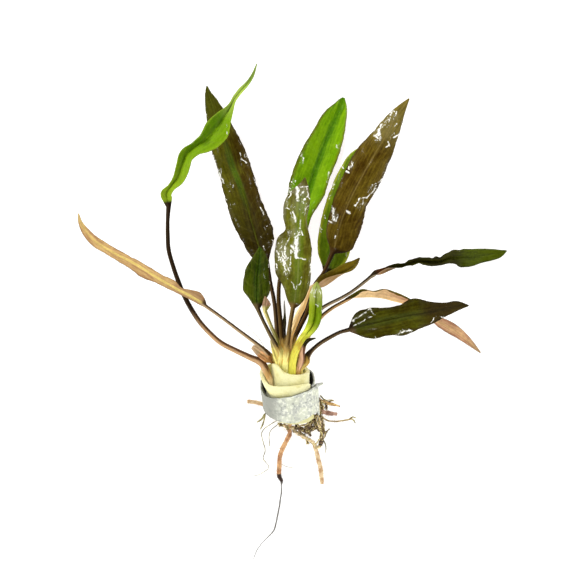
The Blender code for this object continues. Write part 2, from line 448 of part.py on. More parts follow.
add_crown(plant)
foam_rows = [(a, ((low, bottom), (low, bend), (high, top)))
             for a, low, high, bottom, bend, top in smooth(FOAM, FOAM_STEP, places=1)]
band("foam_band", foam_rows, FOAM_THICK, material("Foam", *FOAM_FINISH), plant)
strip_rows = [(a, ((radius, bottom), (radius, top)))
              for a, radius, bottom, top in smooth(STRIP, STRIP_STEP, places=1)]
band("weight_strip", strip_rows, STRIP_THICK, material("Strip", *STRIP_FINISH), plant)

for root_name, root_rows in ROOTS.items():
    root_colour = ROOT_COLOURS.get(root_name, ROOT_COLOUR)
    add_root(root_name, root_rows, material(root_name, root_colour, *ROOT_FINISH), plant)
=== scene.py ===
import math
import random
from functools import partial

import bmesh
import bpy
import numpy as np
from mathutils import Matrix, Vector, noise


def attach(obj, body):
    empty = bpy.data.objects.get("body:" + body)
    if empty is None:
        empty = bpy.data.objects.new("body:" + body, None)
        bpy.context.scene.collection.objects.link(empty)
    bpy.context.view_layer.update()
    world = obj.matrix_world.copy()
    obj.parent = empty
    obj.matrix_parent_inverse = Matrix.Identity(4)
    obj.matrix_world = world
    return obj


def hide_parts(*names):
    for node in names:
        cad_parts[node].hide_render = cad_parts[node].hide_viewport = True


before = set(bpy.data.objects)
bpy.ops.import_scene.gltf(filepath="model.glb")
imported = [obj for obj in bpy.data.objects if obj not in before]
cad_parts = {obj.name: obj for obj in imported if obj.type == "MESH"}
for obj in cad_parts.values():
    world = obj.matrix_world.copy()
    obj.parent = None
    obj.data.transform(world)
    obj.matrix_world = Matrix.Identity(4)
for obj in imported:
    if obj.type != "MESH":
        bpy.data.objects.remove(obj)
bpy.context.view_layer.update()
print("frame loaded:", len(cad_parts), "nodes")

# Everything below is in mm, in the frame of the solids: +Y along the bunch, +Z up from the
# surface that it lies on. metres turns it into Blender's unit where a mesh is made.
metres = 0.001
scene = bpy.context.scene

# The base leans back: its axis rises out of the surface, towards +Y.
riseDegrees = 22.0
stripTop = np.array([-1.6, -33.5, 14.1])
lean = 0.13
acrossAxis = np.array([1.0, 0.0, 0.0])
alongAxis = np.array([0.0, math.cos(math.radians(riseDegrees)), math.sin(math.radians(riseDegrees))])
frontAxis = np.cross(acrossAxis, alongAxis)

outerSlots = 5.5   # radius of the two rings of stalks on the crown
innerSlots = 2.2
foamTop = 9.0


def colour(code):
    # sRGB hex to linear RGBA
    parts = [int(code[i:i + 2], 16) / 255 for i in (0, 2, 4)]
    return (*(c / 12.92 if c <= 0.04045 else ((c + 0.055) / 1.055) ** 2.4 for c in parts), 1.0)


def addNode(tree, kind, inputs=(), operation=None, **settings):
    # adds a node, sets it and links it; inputs go by name, or by place among those in use
    made = tree.nodes.new(kind)
    if operation:
        made.operation = operation
    for key, value in settings.items():
        setattr(made, key, value)
    used = [socket for socket in made.inputs if socket.enabled]
    for key, value in (inputs.items() if isinstance(inputs, dict) else enumerate(inputs)):
        socket = made.inputs[key] if isinstance(key, str) else used[key]
        if isinstance(value, bpy.types.Node):
            value = next(out for out in value.outputs if out.enabled)
        if isinstance(value, bpy.types.NodeSocket):
            tree.links.new(value, socket)
        else:
            socket.default_value = value
    return made


def onBase(radius, angle, height):
    # a point round the base's axis, from its angle and its height along the axis
    turn = math.radians(angle)
    sideways = -lean * min(height, 0.0) + radius * math.cos(turn)
    return stripTop + acrossAxis * sideways + frontAxis * radius * math.sin(turn) + alongAxis * height


def smoothRows(rows, step, places=3):
    # rows of numbers read along a smooth curve about every step; the first ones are its place
    rows = np.array(rows, dtype=float)
    gaps = np.linalg.norm(np.diff(rows[:, :places], axis=0), axis=1)
    at = np.concatenate([[0.0], np.cumsum(gaps)])
    slopes = np.gradient(rows, at, axis=0)
    out = [rows[0]]
    for i, gap in enumerate(gaps):
        count = max(1, round(gap / step))
        for t in np.linspace(0, 1, count + 1)[1:]:
            out.append((2 * t**3 - 3 * t**2 + 1) * rows[i] + (t**3 - 2 * t**2 + t) * gap * slopes[i]
                       + (3 * t**2 - 2 * t**3) * rows[i + 1] + (t**3 - t**2) * gap * slopes[i + 1])
    return np.array(out)


def ease(value, low, high):
    # 0 below low, 1 above high, smooth between
    t = np.clip((np.asarray(value, dtype=float) - low) / (high - low), 0, 1)
    return t * t * (3 - 2 * t)


def newTree(name, inputs):
    # a Geometry Nodes tree with a mesh, the named inputs and a mesh out
    tree = bpy.data.node_groups.new(name, "GeometryNodeTree")
    tree.interface.new_socket("Geometry", in_out="INPUT", socket_type="NodeSocketGeometry")
    for label, value in inputs.items():
        kind = {int: "NodeSocketInt", float: "NodeSocketFloat"}.get(type(value), "NodeSocketMaterial")
        socket = tree.interface.new_socket(label, in_out="INPUT", socket_type=kind)
        if value is not None:
            socket.default_value = value
    tree.interface.new_socket("Geometry", in_out="OUTPUT", socket_type="NodeSocketGeometry")
    given = tree.nodes.new("NodeGroupInput").outputs
    return tree, given, partial(addNode, tree)


def endTree(add, given, shape):
    # from mm to Blender's unit, smooth, one real mesh, its material, and out
    shape = add("GeometryNodeTransform", {"Geometry": shape, "Scale": (metres, metres, metres)})
    shape = add("GeometryNodeSetShadeSmooth", {"Geometry": shape})
    shape = add("GeometryNodeRealizeInstances", {"Geometry": shape})
    shape = add("GeometryNodeSetMaterial", {"Geometry": shape, "Material": given["Material"]})
    add("NodeGroupOutput", {"Geometry": shape})


def addObject(name, data):
    made = bpy.data.objects.new(name, data)
    scene.collection.objects.link(made)
    return made


def keepShape(name, holder):
    # keeps the holder's finished shape as a plain mesh object, and removes the holder
    graph = bpy.context.evaluated_depsgraph_get()
    mesh = bpy.data.meshes.new_from_object(holder.evaluated_get(graph), depsgraph=graph)
    mesh.name = name
    bpy.data.objects.remove(holder)
    return addObject(name + "Look", mesh)


def growPiece(tree, name, source, values):
    # runs a tree with these values on a source mesh
    holder = addObject(name + "Source", source)
    grower = holder.modifiers.new("Grow", "NODES")
    grower.node_group = tree
    for item in tree.interface.items_tree:
        if item.in_out == "INPUT" and item.name in values:
            grower[item.identifier] = values[item.name]
    return keepShape(name, holder)


def faceOutward(piece):
    bm = bmesh.new()
    bm.from_mesh(piece.data)
    if bm.calc_volume(signed=True) < 0:
        bmesh.ops.reverse_faces(bm, faces=bm.faces)
    bm.to_mesh(piece.data)
    bm.free()


def lineMesh(name, strands, **columns):
    # strands of points as edges, with one value or vector a point for each named column
    points = np.vstack([strand[:, :3] for strand in strands])
    starts = np.cumsum([0] + [len(strand) for strand in strands])
    edges = [(i, i + 1) for a, b in zip(starts, starts[1:]) for i in range(a, b - 1)]
    mesh = bpy.data.meshes.new(name)
    mesh.from_pydata(points, edges, [])
    for key, values in columns.items():
        values = np.asarray(values, dtype=np.float32)
        vector = values.ndim == 2
        made = mesh.attributes.new(key, "FLOAT_VECTOR" if vector else "FLOAT", "POINT")
        made.data.foreach_set("vector" if vector else "value", values.ravel())
    return mesh


def dress(piece, node):
    # the piece stands for its CAD node, if it has one, and moves with the one body; nothing
    # reaches through the surface that the bunch lies on
    for vertex in piece.data.vertices:
        vertex.co.z = max(vertex.co.z, 0.0)
    if node:
        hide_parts(node)
    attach(piece, "root")


smoothly = {"interpolation_type": "SMOOTHSTEP"}   # how a range eases from one end to the other


def newFinish(name):
    finish = bpy.data.materials.new(name)
    finish.use_nodes = True
    finish.node_tree.nodes.clear()
    return finish, partial(addNode, finish.node_tree)


def paint(add, under, layers):
    # colours laid over one another: a layer is its share and its colour, a hex code or a node
    under = colour(under) if isinstance(under, str) else under
    for share, shade in layers:
        shade = colour(shade) if isinstance(shade, str) else shade
        under = add("ShaderNodeMix", [share, under, shade], data_type="RGBA")
    return under


# What a leaf has unless its own entry says otherwise. Sizes in mm, colours as sRGB hex.
ringPoints = 56
stalkStep = 1.5
bladeStep = 1.0
sheathHeights = ((0.0, 0.9), (0.55 * foamTop, 1.0), (foamTop, 0.85))   # height, share of its width
hugUntil, levelFrom = 8, 26   # mm of stalk that lies round the crown, and where it has turned level
noiseGap = 17.3   # keeps the leaves' patterns apart
halfGap, nickGap = 5.3, 9.1   # keep the noise of a leaf's two halves apart
nickRate = 0.42   # noise steps per mm of the ragged margin
crowding = 1.35   # above 1, a ring's points stand closer together at the midrib
thickPlace, roundPlace = 7, 8   # where a station holds its half thickness and its roundness
leastThick = 0.3   # least share of its thickness that a blade keeps
leafShape = {"turned": False, "sheath": (1.9, 1.0), "halfThick": 0.2, "neck": 5.0, "ruffle": 0.8,
             "ruffleLength": 9.0, "ragged": 0.10, "pucker": 0.16, "veinSpacing": 2.6,
             "veinSlant": 0.7, "ribWidth": 0.5, "ribHeight": 0.35, "arch": 0.10}
leafInputs = {"Ruffle Height": "ruffle", "Ruffle Length": "ruffleLength", "Ragged Margin": "ragged",
              "Pucker Height": "pucker", "Vein Spacing": "veinSpacing", "Vein Slant": "veinSlant",
              "Rib Width": "ribWidth", "Rib Height": "ribHeight", "Half Arch": "arch"}
leafLook = {"cloudSize": 9.0, "halfShift": 0.0, "sideTone": 0.0, "endSpan": (0.3, 0.85),
            "streaked": 0.25, "streak": 0.2, "rib": "66663a", "ribShare": 0.4, "ribWide": 0.45,
            "vein": "6a6a28", "veinShare": 0.12, "veinSpacing": 2.6,
            "core": "3d5a0d", "coreShare": 0.0, "coreWide": 3.0, "coreSpan": (0.9, 2.1),
            "edge": "585a1c", "edgeShare": 0.3, "base": "4b4b14", "baseShare": 0.0, "baseTo": 1.35,
            "tip": "30301a", "tipShare": 0.0, "tipFrom": 1.82, "below": ("9a7458", "82583c"),
            "stalk": ("241706", "6a4a22"), "stalkSide": 1.0, "stalkEnd": "140c04", "stalkEndShare": 0.5,
            # Among these keys, the glare zones, the sheen, the strokes and the margin glints are painted
            # highlights.
            "sheath": ("dcd684", "bf9a4a"), "sheathLong": 22.0, "paintedGlare": [], "glareHaze": 0.08,
            "glareStrokes": [], "marginGlints": 0.0, "slot": "leaf_dark_green"}


def leafFinish(name, look, number):
    # Wet leaf: thin waxy skin over soft green or brown flesh. It gives saturated colour with fine
    # streaks and side veins, and painted highlights: a pale sheen that breaks into white marks.
    finish, add = newFinish("WetLeaf_" + name)
    read = {key: add("ShaderNodeAttribute", attribute_name=key).outputs["Fac"]
            for key in ("runMm", "offMm", "growth", "across", "topSide", "roundness")}
    beside = add("ShaderNodeMath", [read["offMm"]], "ABSOLUTE")
    margin = add("ShaderNodeMath", [read["across"]], "ABSOLUTE")
    place = add("ShaderNodeCombineXYZ", [read["runMm"], read["offMm"], number * noiseGap])
    lengthways = add("ShaderNodeVectorMath", [place, (0.14, 1.0, 1.0)], "MULTIPLY")
    streak = add("ShaderNodeTexNoise", {"Vector": lengthways, "Scale": 1.1, "Detail": 3.0,
                 "Roughness": 0.6})
    cloud = add("ShaderNodeTexNoise", {"Vector": place, "Scale": 1 / look["cloudSize"], "Detail": 3.0})
    cloud = add("ShaderNodeMix", [look["streaked"], cloud, streak], data_type="FLOAT")
    shift = add("ShaderNodeMath", [read["across"], look["halfShift"]], "MULTIPLY")
    cloud = add("ShaderNodeMath", [cloud, shift], "ADD")
    cloud = add("ShaderNodeMapRange", [cloud, 0.38, 0.62, 0.0, 1.0], **smoothly)
    mottle = add("ShaderNodeTexNoise", {"Vector": place, "Scale": 0.9, "Detail": 4.0, "Roughness": 0.6})

    # side veins run forward from the midrib to the margin, and a net of fine ones joins them
    slant = add("ShaderNodeMath", [beside, leafShape["veinSlant"]], "MULTIPLY")
    phase = add("ShaderNodeMath", [read["runMm"], slant], "SUBTRACT")
    drift = add("ShaderNodeTexNoise", {"Vector": place, "Scale": 0.22, "Detail": 2.0})
    phase = add("ShaderNodeMath", [phase, add("ShaderNodeMath", [drift, 3.0], "MULTIPLY")], "ADD")
    phase = add("ShaderNodeMath", [phase, look["veinSpacing"]], "DIVIDE")
    line = add("ShaderNodeMath", [phase, 1.0], "PINGPONG")
    veins = add("ShaderNodeMapRange", [line, 0.0, 0.30, look["veinShare"], 0.0], **smoothly)
    net = add("ShaderNodeTexVoronoi", {"Vector": place, "Scale": 0.75}, feature="DISTANCE_TO_EDGE")
    net = add("ShaderNodeMapRange", [net, 0.0, 0.10, 1.0, 0.0])
    netShare = add("ShaderNodeMath", [net, look["veinShare"] * 0.5], "MULTIPLY")
    rib = add("ShaderNodeMapRange", [beside, look["ribWide"] * 0.5, look["ribWide"], look["ribShare"], 0.0],
              **smoothly)
    rib = add("ShaderNodeMath", [rib, add("ShaderNodeMapRange", [read["growth"], 1.5, 2.0, 1.0, 0.3])],
              "MULTIPLY")
    core = add("ShaderNodeMath", [streak, look["coreWide"]], "MULTIPLY")
    core = add("ShaderNodeMath", [beside, core], "ADD")
    core = add("ShaderNodeMapRange", [core, look["coreWide"] * 0.7, look["coreWide"] * 1.5,
               look["coreShare"], 0.0], **smoothly)
    spanFrom, spanTo = look["coreSpan"]
    for edges in ((spanFrom - 0.1, spanFrom + 0.1), (spanTo + 0.1, spanTo - 0.1)):
        core = add("ShaderNodeMath", [core, add("ShaderNodeMapRange", [read["growth"], *edges, 0.0, 1.0])],
                   "MULTIPLY")
    rim = add("ShaderNodeMath", [margin, add("ShaderNodeMath", [mottle, 0.12], "MULTIPLY")], "ADD")
    rim = add("ShaderNodeMapRange", [rim, 0.84, 1.04, 0.0, look["edgeShare"]], **smoothly)
    foot = add("ShaderNodeMapRange", [read["growth"], 1.0, look["baseTo"], look["baseShare"], 0.0])
    point = add("ShaderNodeMapRange", [read["growth"], look["tipFrom"], look["tipFrom"] + 0.18, 0.0,
                look["tipShare"]], **smoothly)

    top = paint(add, look["top"][1], [
        (cloud, look["top"][0]), (core, look["core"]), (foot, look["base"]), (netShare, look["vein"]),
        (veins, look["vein"]), (rim, look["edge"]), (point, look["tip"]), (rib, look["rib"])])
    light, dark = look["below"]
    belowVein = look.get("belowVein", dark)
    below = paint(add, dark, [
        (cloud, light), (foot, look.get("belowBase", light)), (netShare, belowVein), (veins, belowVein),
        (rim, look.get("belowEdge", dark)), (point, look["tip"]), (rib, look.get("belowRib", dark))])
    blade = paint(add, below, [(read["topSide"], top)])
    depth = add("ShaderNodeMix", [0.45, streak, mottle], data_type="FLOAT")
    depth = add("ShaderNodeMapRange", [depth, 0.36, 0.64, 1 - look["streak"], 1 + look["streak"]])
    side = add("ShaderNodeMath", [read["across"], look["sideTone"]], "MULTIPLY")
    depth = add("ShaderNodeMath", [depth, side], "ADD")
    blade = add("ShaderNodeHueSaturation", {"Value": depth, "Color": blade})

    # the stalk: darker on its upper side and far end, with long fibres, pale at its sheath
    fibre = add("ShaderNodeCombineXYZ", [
        add("ShaderNodeMath", [read["runMm"], 0.09], "MULTIPLY"), read["across"], number])
    fibre = add("ShaderNodeTexNoise", {"Vector": fibre, "Scale": 3.2, "Detail": 3.0})
    split = add("ShaderNodeMath", [read["across"], look["stalkSide"]], "MULTIPLY")
    split = add("ShaderNodeMath", [split, add("ShaderNodeMath", [fibre, 0.9], "MULTIPLY")], "ADD")
    split = add("ShaderNodeMapRange", [split, 0.15, 0.85, 0.0, 1.0], **smoothly)
    ending = add("ShaderNodeMapRange", [read["growth"], *look["endSpan"], 0.0, look["stalkEndShare"]])
    sheath = add("ShaderNodeMath", [fibre, 12.0], "MULTIPLY")
    sheath = add("ShaderNodeMath", [read["runMm"], sheath], "ADD")
    sheath = add("ShaderNodeMapRange", [sheath, look["sheathLong"], look["sheathLong"] + 7.0, 1.0, 0.0],
                 **smoothly)
    amber = add("ShaderNodeMath", [sheath, add("ShaderNodeMath", [1.0, sheath], "SUBTRACT")], "MULTIPLY")
    amber = add("ShaderNodeMath", [amber, 2.6], "MULTIPLY")
    pale = paint(add, look["sheath"][0], [
        (add("ShaderNodeMapRange", [fibre, 0.52, 0.66, 0.0, 1.0]), look["sheath"][1])])
    stalk = paint(add, look["stalk"][1], [
        (split, look["stalk"][0]), (ending, look["stalkEnd"]), (sheath, pale), (amber, "a0742c")])
    depth = add("ShaderNodeMapRange", [fibre, 0.35, 0.65, 0.8, 1.3])
    stalk = add("ShaderNodeHueSaturation", {"Value": depth, "Color": stalk})
    onBlade = add("ShaderNodeMapRange", [read["roundness"], 0.7, 0.15, 0.0, 1.0], **smoothly)
    skin = paint(add, stalk, [(onBlade, blade)])

    # Painted highlights in the base colour: a pale painted sheen in ellipses (x, y, half sizes,
    # share) and in spots along the margins, with painted glint lines along noise ripples, and the
    # brightest painted glints drawn one by one as strokes (x, y, x, y, half width).
    spot = add("ShaderNodeTexCoord").outputs["Object"]
    spot = add("ShaderNodeVectorMath", [spot, (1 / metres, 1 / metres, 0.0)], "MULTIPLY")
    sway = add("ShaderNodeTexNoise", {"Vector": spot, "Scale": 0.45, "Detail": 2.0}).outputs["Color"]
    sway = add("ShaderNodeVectorMath", [sway, (0.5, 0.5, 0.5)], "SUBTRACT")
    sway = add("ShaderNodeVectorMath", [sway, 4.5], "SCALE")
    swayed = add("ShaderNodeVectorMath", [spot, sway], "ADD")
    glintSpots = add("ShaderNodeTexNoise", {"Vector": place, "Scale": 0.16, "Detail": 1.0})
    glintSpots = add("ShaderNodeMapRange", [glintSpots, 0.5, 0.62, 0.0, look["marginGlints"]])
    atRim = add("ShaderNodeMapRange", [margin, 0.74, 0.9, 0.0, 1.0], **smoothly)
    thick = add("ShaderNodeMath", [glintSpots, atRim], "MULTIPLY")
    for x, y, halfX, halfY, share in look["paintedGlare"]:
        fromMiddle = add("ShaderNodeVectorMath", [swayed, (x, y, 0.0)], "SUBTRACT")
        fromMiddle = add("ShaderNodeVectorMath", [fromMiddle, (1 / halfX, 1 / halfY, 0.0)], "MULTIPLY")
        distance = add("ShaderNodeVectorMath", [fromMiddle], "LENGTH")
        zone = add("ShaderNodeMapRange", [distance, 0.4, 1.3, share, 0.0], **smoothly)
        thick = add("ShaderNodeMath", [thick, zone], "MAXIMUM")
    onSkin = add("ShaderNodeMath", [read["topSide"], onBlade], "MULTIPLY")
    thick = add("ShaderNodeMath", [thick, onSkin], "MULTIPLY")
    # thick is how strongly the painted glare lies here; bright painted glint lines follow the ripples
    ripple = add("ShaderNodeVectorMath", [place, (0.24, 0.6, 1.0)], "MULTIPLY")
    ripple = add("ShaderNodeTexNoise", {"Vector": ripple, "Scale": 1.0, "Detail": 2.0, "Roughness": 0.5,
                 "Distortion": 0.7})
    ripple = add("ShaderNodeMath", [add("ShaderNodeMath", [ripple, 3.2], "MULTIPLY"), 0.5], "PINGPONG")
    glint = add("ShaderNodeMath", [add("ShaderNodeMath", [thick, 0.13], "MULTIPLY"), ripple], "SUBTRACT")
    glint = add("ShaderNodeMapRange", [glint, 0.0, 0.05, 0.0, 1.0])
    broken = add("ShaderNodeVectorMath", [place, (0.30, 0.52, 1.0)], "MULTIPLY")
    broken = add("ShaderNodeTexNoise", {"Vector": broken, "Scale": 1.0, "Detail": 3.0, "Roughness": 0.6,
                 "Distortion": 0.5})
    glint = add("ShaderNodeMath", [glint, add("ShaderNodeMapRange", [broken, 0.44, 0.5, 0.0, 1.0])],
                "MULTIPLY")
    glareBlot = add("ShaderNodeMath", [add("ShaderNodeMath", [thick, 0.22], "MULTIPLY"), broken], "ADD")
    glareBlot = add("ShaderNodeMapRange", [glareBlot, 0.78, 0.81, 0.0, 1.0])
    paintedGlare = add("ShaderNodeMath", [glint, glareBlot], "MAXIMUM")
    near = add("ShaderNodeVectorMath", [sway, 0.4], "SCALE")
    near = add("ShaderNodeVectorMath", [spot, near], "ADD")
    fray = add("ShaderNodeMath", [mottle, 1.3], "MULTIPLY")
    rest = add("ShaderNodeMix", [0.6, broken, mottle], data_type="FLOAT")
    rest = add("ShaderNodeMapRange", [rest, 0.42, 0.50, 0.1, 1.0])
    for x, y, toX, toY, halfWide in look["glareStrokes"]:
        along = (toX - x, toY - y, 0.0)
        squared = along[0] ** 2 + along[1] ** 2
        gone = add("ShaderNodeVectorMath", [near, (x, y, 0.0)], "SUBTRACT")
        part = add("ShaderNodeVectorMath", [gone, (along[0] / squared, along[1] / squared, 0.0)],
                   "DOT_PRODUCT")
        part = add("ShaderNodeMath", [part, 1.0], "MULTIPLY", use_clamp=True)
        closest = add("ShaderNodeVectorMath", [along, part], "SCALE")
        gap = add("ShaderNodeVectorMath", [gone, closest], "DISTANCE")
        gap = add("ShaderNodeMath", [gap, fray], "ADD")
        drawn = add("ShaderNodeMapRange", [gap, halfWide * 0.35 + 0.62, halfWide * 0.85 + 0.66, rest, 0.0])
        paintedGlare = add("ShaderNodeMath", [paintedGlare, drawn], "MAXIMUM")
    paintedGlare = add("ShaderNodeMath", [paintedGlare, onSkin], "MULTIPLY")
    glareHaze = add("ShaderNodeMath", [thick, look["glareHaze"]], "MULTIPLY")
    # painted highlights: a pale painted sheen and near-white painted glints over the leaf's colour
    skin = paint(add, skin, [(glareHaze, "a8a78a"), (paintedGlare, "f4f3ea")])
    bump = add("ShaderNodeMath", [mottle, add("ShaderNodeMath", [net, 0.25], "MULTIPLY")], "SUBTRACT")
    rough = add("ShaderNodeMapRange", [mottle, 0.3, 0.7, 0.24, 0.36])
    rough = add("ShaderNodeMix", [paintedGlare, rough, 0.15], data_type="FLOAT")
    fine = add("ShaderNodeBump", {"Height": bump, "Strength": 0.5, "Distance": 0.25 * metres})
    shader = add("ShaderNodeBsdfPrincipled", {
        "Base Color": skin, "Roughness": rough, "IOR": 1.35, "Normal": fine,
        "Specular IOR Level": 0.03, "Coat Weight": 0.07, "Coat Roughness": 0.1, "Coat IOR": 1.33})
    add("ShaderNodeOutputMaterial", {"Surface": shader})
    return finish


def buildLeafTree():
    # A leaf from its stations: a ring of points round each, flat on the blade and round on
    # the stalk, with the sunk midrib, the puckers between side veins and the wavy margin.
    tree, given, add = newTree("Leaf", {
        "Ring Points": ringPoints, **{label: leafShape[key] for label, key in leafInputs.items()},
        "Seed": 0.0, "Material": None})
    stored = {"FLOAT_VECTOR": ("spine", "leftEdge", "rightEdge", "leftUp", "rightUp"),
              "FLOAT": ("halfThick", "roundness", "runMm", "growth", "turn")}
    read = {key: add("GeometryNodeInputNamedAttribute", {"Name": key}, data_type=kind)
            for kind, keys in stored.items() for key in keys}
    spine = add("GeometryNodeMeshToCurve", {"Mesh": given["Geometry"]})
    ring = add("GeometryNodeCurvePrimitiveCircle", {"Resolution": given["Ring Points"]})
    ring = add("GeometryNodeStoreNamedAttribute", {
        "Geometry": ring, "Name": "turn",
        "Value": add("GeometryNodeSplineParameter").outputs["Factor"]},
        data_type="FLOAT", domain="POINT")
    tube = add("GeometryNodeCurveToMesh", {"Curve": spine, "Profile Curve": ring, "Fill Caps": True})

    # where a point of the ring stands: across from 1 (right) to -1 (left), on the top or below
    quarter = add("ShaderNodeMath", [read["turn"], 4.0], "MULTIPLY")
    wave = add("ShaderNodeMath", [1.0, add("ShaderNodeMath", [quarter, 2.0], "PINGPONG")], "SUBTRACT")
    closer = add("ShaderNodeMath", [add("ShaderNodeMath", [wave], "ABSOLUTE"), crowding], "POWER")
    flatAcross = add("ShaderNodeMath", [closer, add("ShaderNodeMath", [wave], "SIGN")], "MULTIPLY")
    angle = add("ShaderNodeMath", [read["turn"], 2 * math.pi], "MULTIPLY")
    across = add("ShaderNodeMix", [read["roundness"], flatAcross,
                 add("ShaderNodeMath", [angle], "COSINE")], data_type="FLOAT")
    face = add("ShaderNodeMath", [add("ShaderNodeMath", [0.5, read["turn"]], "SUBTRACT")], "SIGN")
    far = add("ShaderNodeMath", [across], "ABSOLUTE")
    thinning = add("ShaderNodeMath", [1.0, add("ShaderNodeMath", [closer, 4.0], "POWER")], "SUBTRACT")
    body = add("ShaderNodeMix", [
        read["roundness"], add("ShaderNodeMath", [thinning, face], "MULTIPLY"),
        add("ShaderNodeMath", [angle], "SINE")], data_type="FLOAT")
    vertical = add("ShaderNodeMath", [body, read["halfThick"]], "MULTIPLY")
    onRight = add("ShaderNodeMath", [across, 0.0], "GREATER_THAN")
    edge = add("ShaderNodeMix", [onRight, read["leftEdge"], read["rightEdge"]], data_type="VECTOR")
    halfUp = add("ShaderNodeMix", [onRight, read["leftUp"], read["rightUp"]], data_type="VECTOR")
    midUp = add("ShaderNodeVectorMath", [
        add("ShaderNodeVectorMath", [read["leftUp"], read["rightUp"]], "ADD")], "NORMALIZE")
    leaving = add("ShaderNodeMapRange", [far, 0.0, 0.35, 0.0, 1.0], **smoothly)
    up = add("ShaderNodeVectorMath", [
        add("ShaderNodeMix", [leaving, midUp, halfUp], data_type="VECTOR")], "NORMALIZE")
    reach = add("ShaderNodeVectorMath", [edge], "LENGTH").outputs["Value"]
    off = add("ShaderNodeMath", [across, reach], "MULTIPLY")
    offFar = add("ShaderNodeMath", [off], "ABSOLUTE")

    # the margin's waves and its ragged line
    place = add("ShaderNodeCombineXYZ", [
        add("ShaderNodeMath", [read["runMm"], given["Ruffle Length"]], "DIVIDE"),
        add("ShaderNodeMath", [onRight, halfGap], "MULTIPLY"), given["Seed"]])
    swell = add("ShaderNodeTexNoise", {"Vector": place, "Scale": 1.6, "Detail": 1.0})
    swell = add("ShaderNodeMapRange", [swell, 0.25, 0.75, -1.0, 1.0])
    wide = add("ShaderNodeMapRange", [reach, 0.0, 6.0, 0.0, 1.0])
    ruffle = swell
    for factor in (given["Ruffle Height"], far, far, wide):
        ruffle = add("ShaderNodeMath", [ruffle, factor], "MULTIPLY")
    nick = add("ShaderNodeCombineXYZ", [
        add("ShaderNodeMath", [read["runMm"], nickRate], "MULTIPLY"),
        add("ShaderNodeMath", [onRight, nickGap], "MULTIPLY"), given["Seed"]])
    nick = add("ShaderNodeTexNoise", {"Vector": nick, "Scale": 1.0, "Detail": 2.0})
    nick = add("ShaderNodeMath", [nick, 0.5], "SUBTRACT")
    nick = add("ShaderNodeMath", [nick, given["Ragged Margin"]], "MULTIPLY")
    spread = add("ShaderNodeMath", [nick, 1.0], "ADD")

    # puckers between the side veins, fading to the midrib and the margin
    phase = add("ShaderNodeMath", [offFar, given["Vein Slant"]], "MULTIPLY")
    phase = add("ShaderNodeMath", [read["runMm"], phase], "SUBTRACT")
    drift = add("ShaderNodeTexNoise", {"Vector": place, "Scale": 4.0, "Detail": 2.0})
    phase = add("ShaderNodeMath", [phase, add("ShaderNodeMath", [drift, 3.0], "MULTIPLY")], "ADD")
    phase = add("ShaderNodeMath", [phase, given["Vein Spacing"]], "DIVIDE")
    phase = add("ShaderNodeMath", [phase, math.pi], "MULTIPLY")
    pucker = add("ShaderNodeMath", [add("ShaderNodeMath", [phase], "SINE")], "ABSOLUTE")
    pucker = add("ShaderNodeMath", [pucker, 0.6], "SUBTRACT")
    for factor in (given["Pucker Height"], wide,
                   add("ShaderNodeMapRange", [far, 0.04, 0.25, 0.0, 1.0]),
                   add("ShaderNodeMapRange", [far, 1.0, 0.8, 0.0, 1.0])):
        pucker = add("ShaderNodeMath", [pucker, factor], "MULTIPLY")

    # the midrib: a keel below and a groove on top, finer towards the tip
    bell = add("ShaderNodeMath", [off, given["Rib Width"]], "DIVIDE")
    bell = add("ShaderNodeMath", [bell, bell], "MULTIPLY")
    bell = add("ShaderNodeMath", [add("ShaderNodeMath", [bell, -1.0], "MULTIPLY")], "EXPONENT")
    below = add("ShaderNodeMath", [face, 0.0], "LESS_THAN")
    rib = add("ShaderNodeMix", [below, 0.45, 1.0], data_type="FLOAT")
    for factor in (bell, given["Rib Height"], wide,
                   add("ShaderNodeMapRange", [read["growth"], 1.0, 2.0, -1.0, -0.25])):
        rib = add("ShaderNodeMath", [rib, factor], "MULTIPLY")
    arch = add("ShaderNodeMath", [far, add("ShaderNodeMath", [1.0, far], "SUBTRACT")], "MULTIPLY")
    for factor in (4.0, given["Half Arch"], reach):
        arch = add("ShaderNodeMath", [arch, factor], "MULTIPLY")

    relief = ruffle
    for part in (pucker, rib, arch):
        relief = add("ShaderNodeMath", [relief, part], "ADD")
    flat = add("ShaderNodeMath", [1.0, read["roundness"]], "SUBTRACT")
    relief = add("ShaderNodeMath", [relief, flat], "MULTIPLY")
    lift = add("ShaderNodeVectorMath", [up, add("ShaderNodeMath", [vertical, relief], "ADD")], "SCALE")
    out = add("ShaderNodeVectorMath", [edge, add("ShaderNodeMath", [far, spread], "MULTIPLY")], "SCALE")
    spot = add("ShaderNodeVectorMath", [
        add("ShaderNodeVectorMath", [read["spine"], out], "ADD"), lift], "ADD")
    # no point reaches through the surface that the bunch lies on
    topSide = add("ShaderNodeMath", [face, 0.0], "GREATER_THAN")
    lowest = add("ShaderNodeMath", [read["halfThick"], 2.0], "MULTIPLY")
    lowest = add("ShaderNodeMath", [topSide, lowest], "MULTIPLY")
    parts = add("ShaderNodeSeparateXYZ", [spot])
    height = add("ShaderNodeMath", [parts.outputs["Z"], lowest], "MAXIMUM")
    spot = add("ShaderNodeCombineXYZ", [parts.outputs["X"], parts.outputs["Y"], height])
    leaf = add("GeometryNodeSetPosition", {"Geometry": tube, "Position": spot})
    for key, value in (("across", across), ("offMm", off), ("topSide", topSide)):
        leaf = add("GeometryNodeStoreNamedAttribute", {"Geometry": leaf, "Name": key, "Value": value},
                   data_type="FLOAT", domain="POINT")
    endTree(add, given, leaf)
    return tree


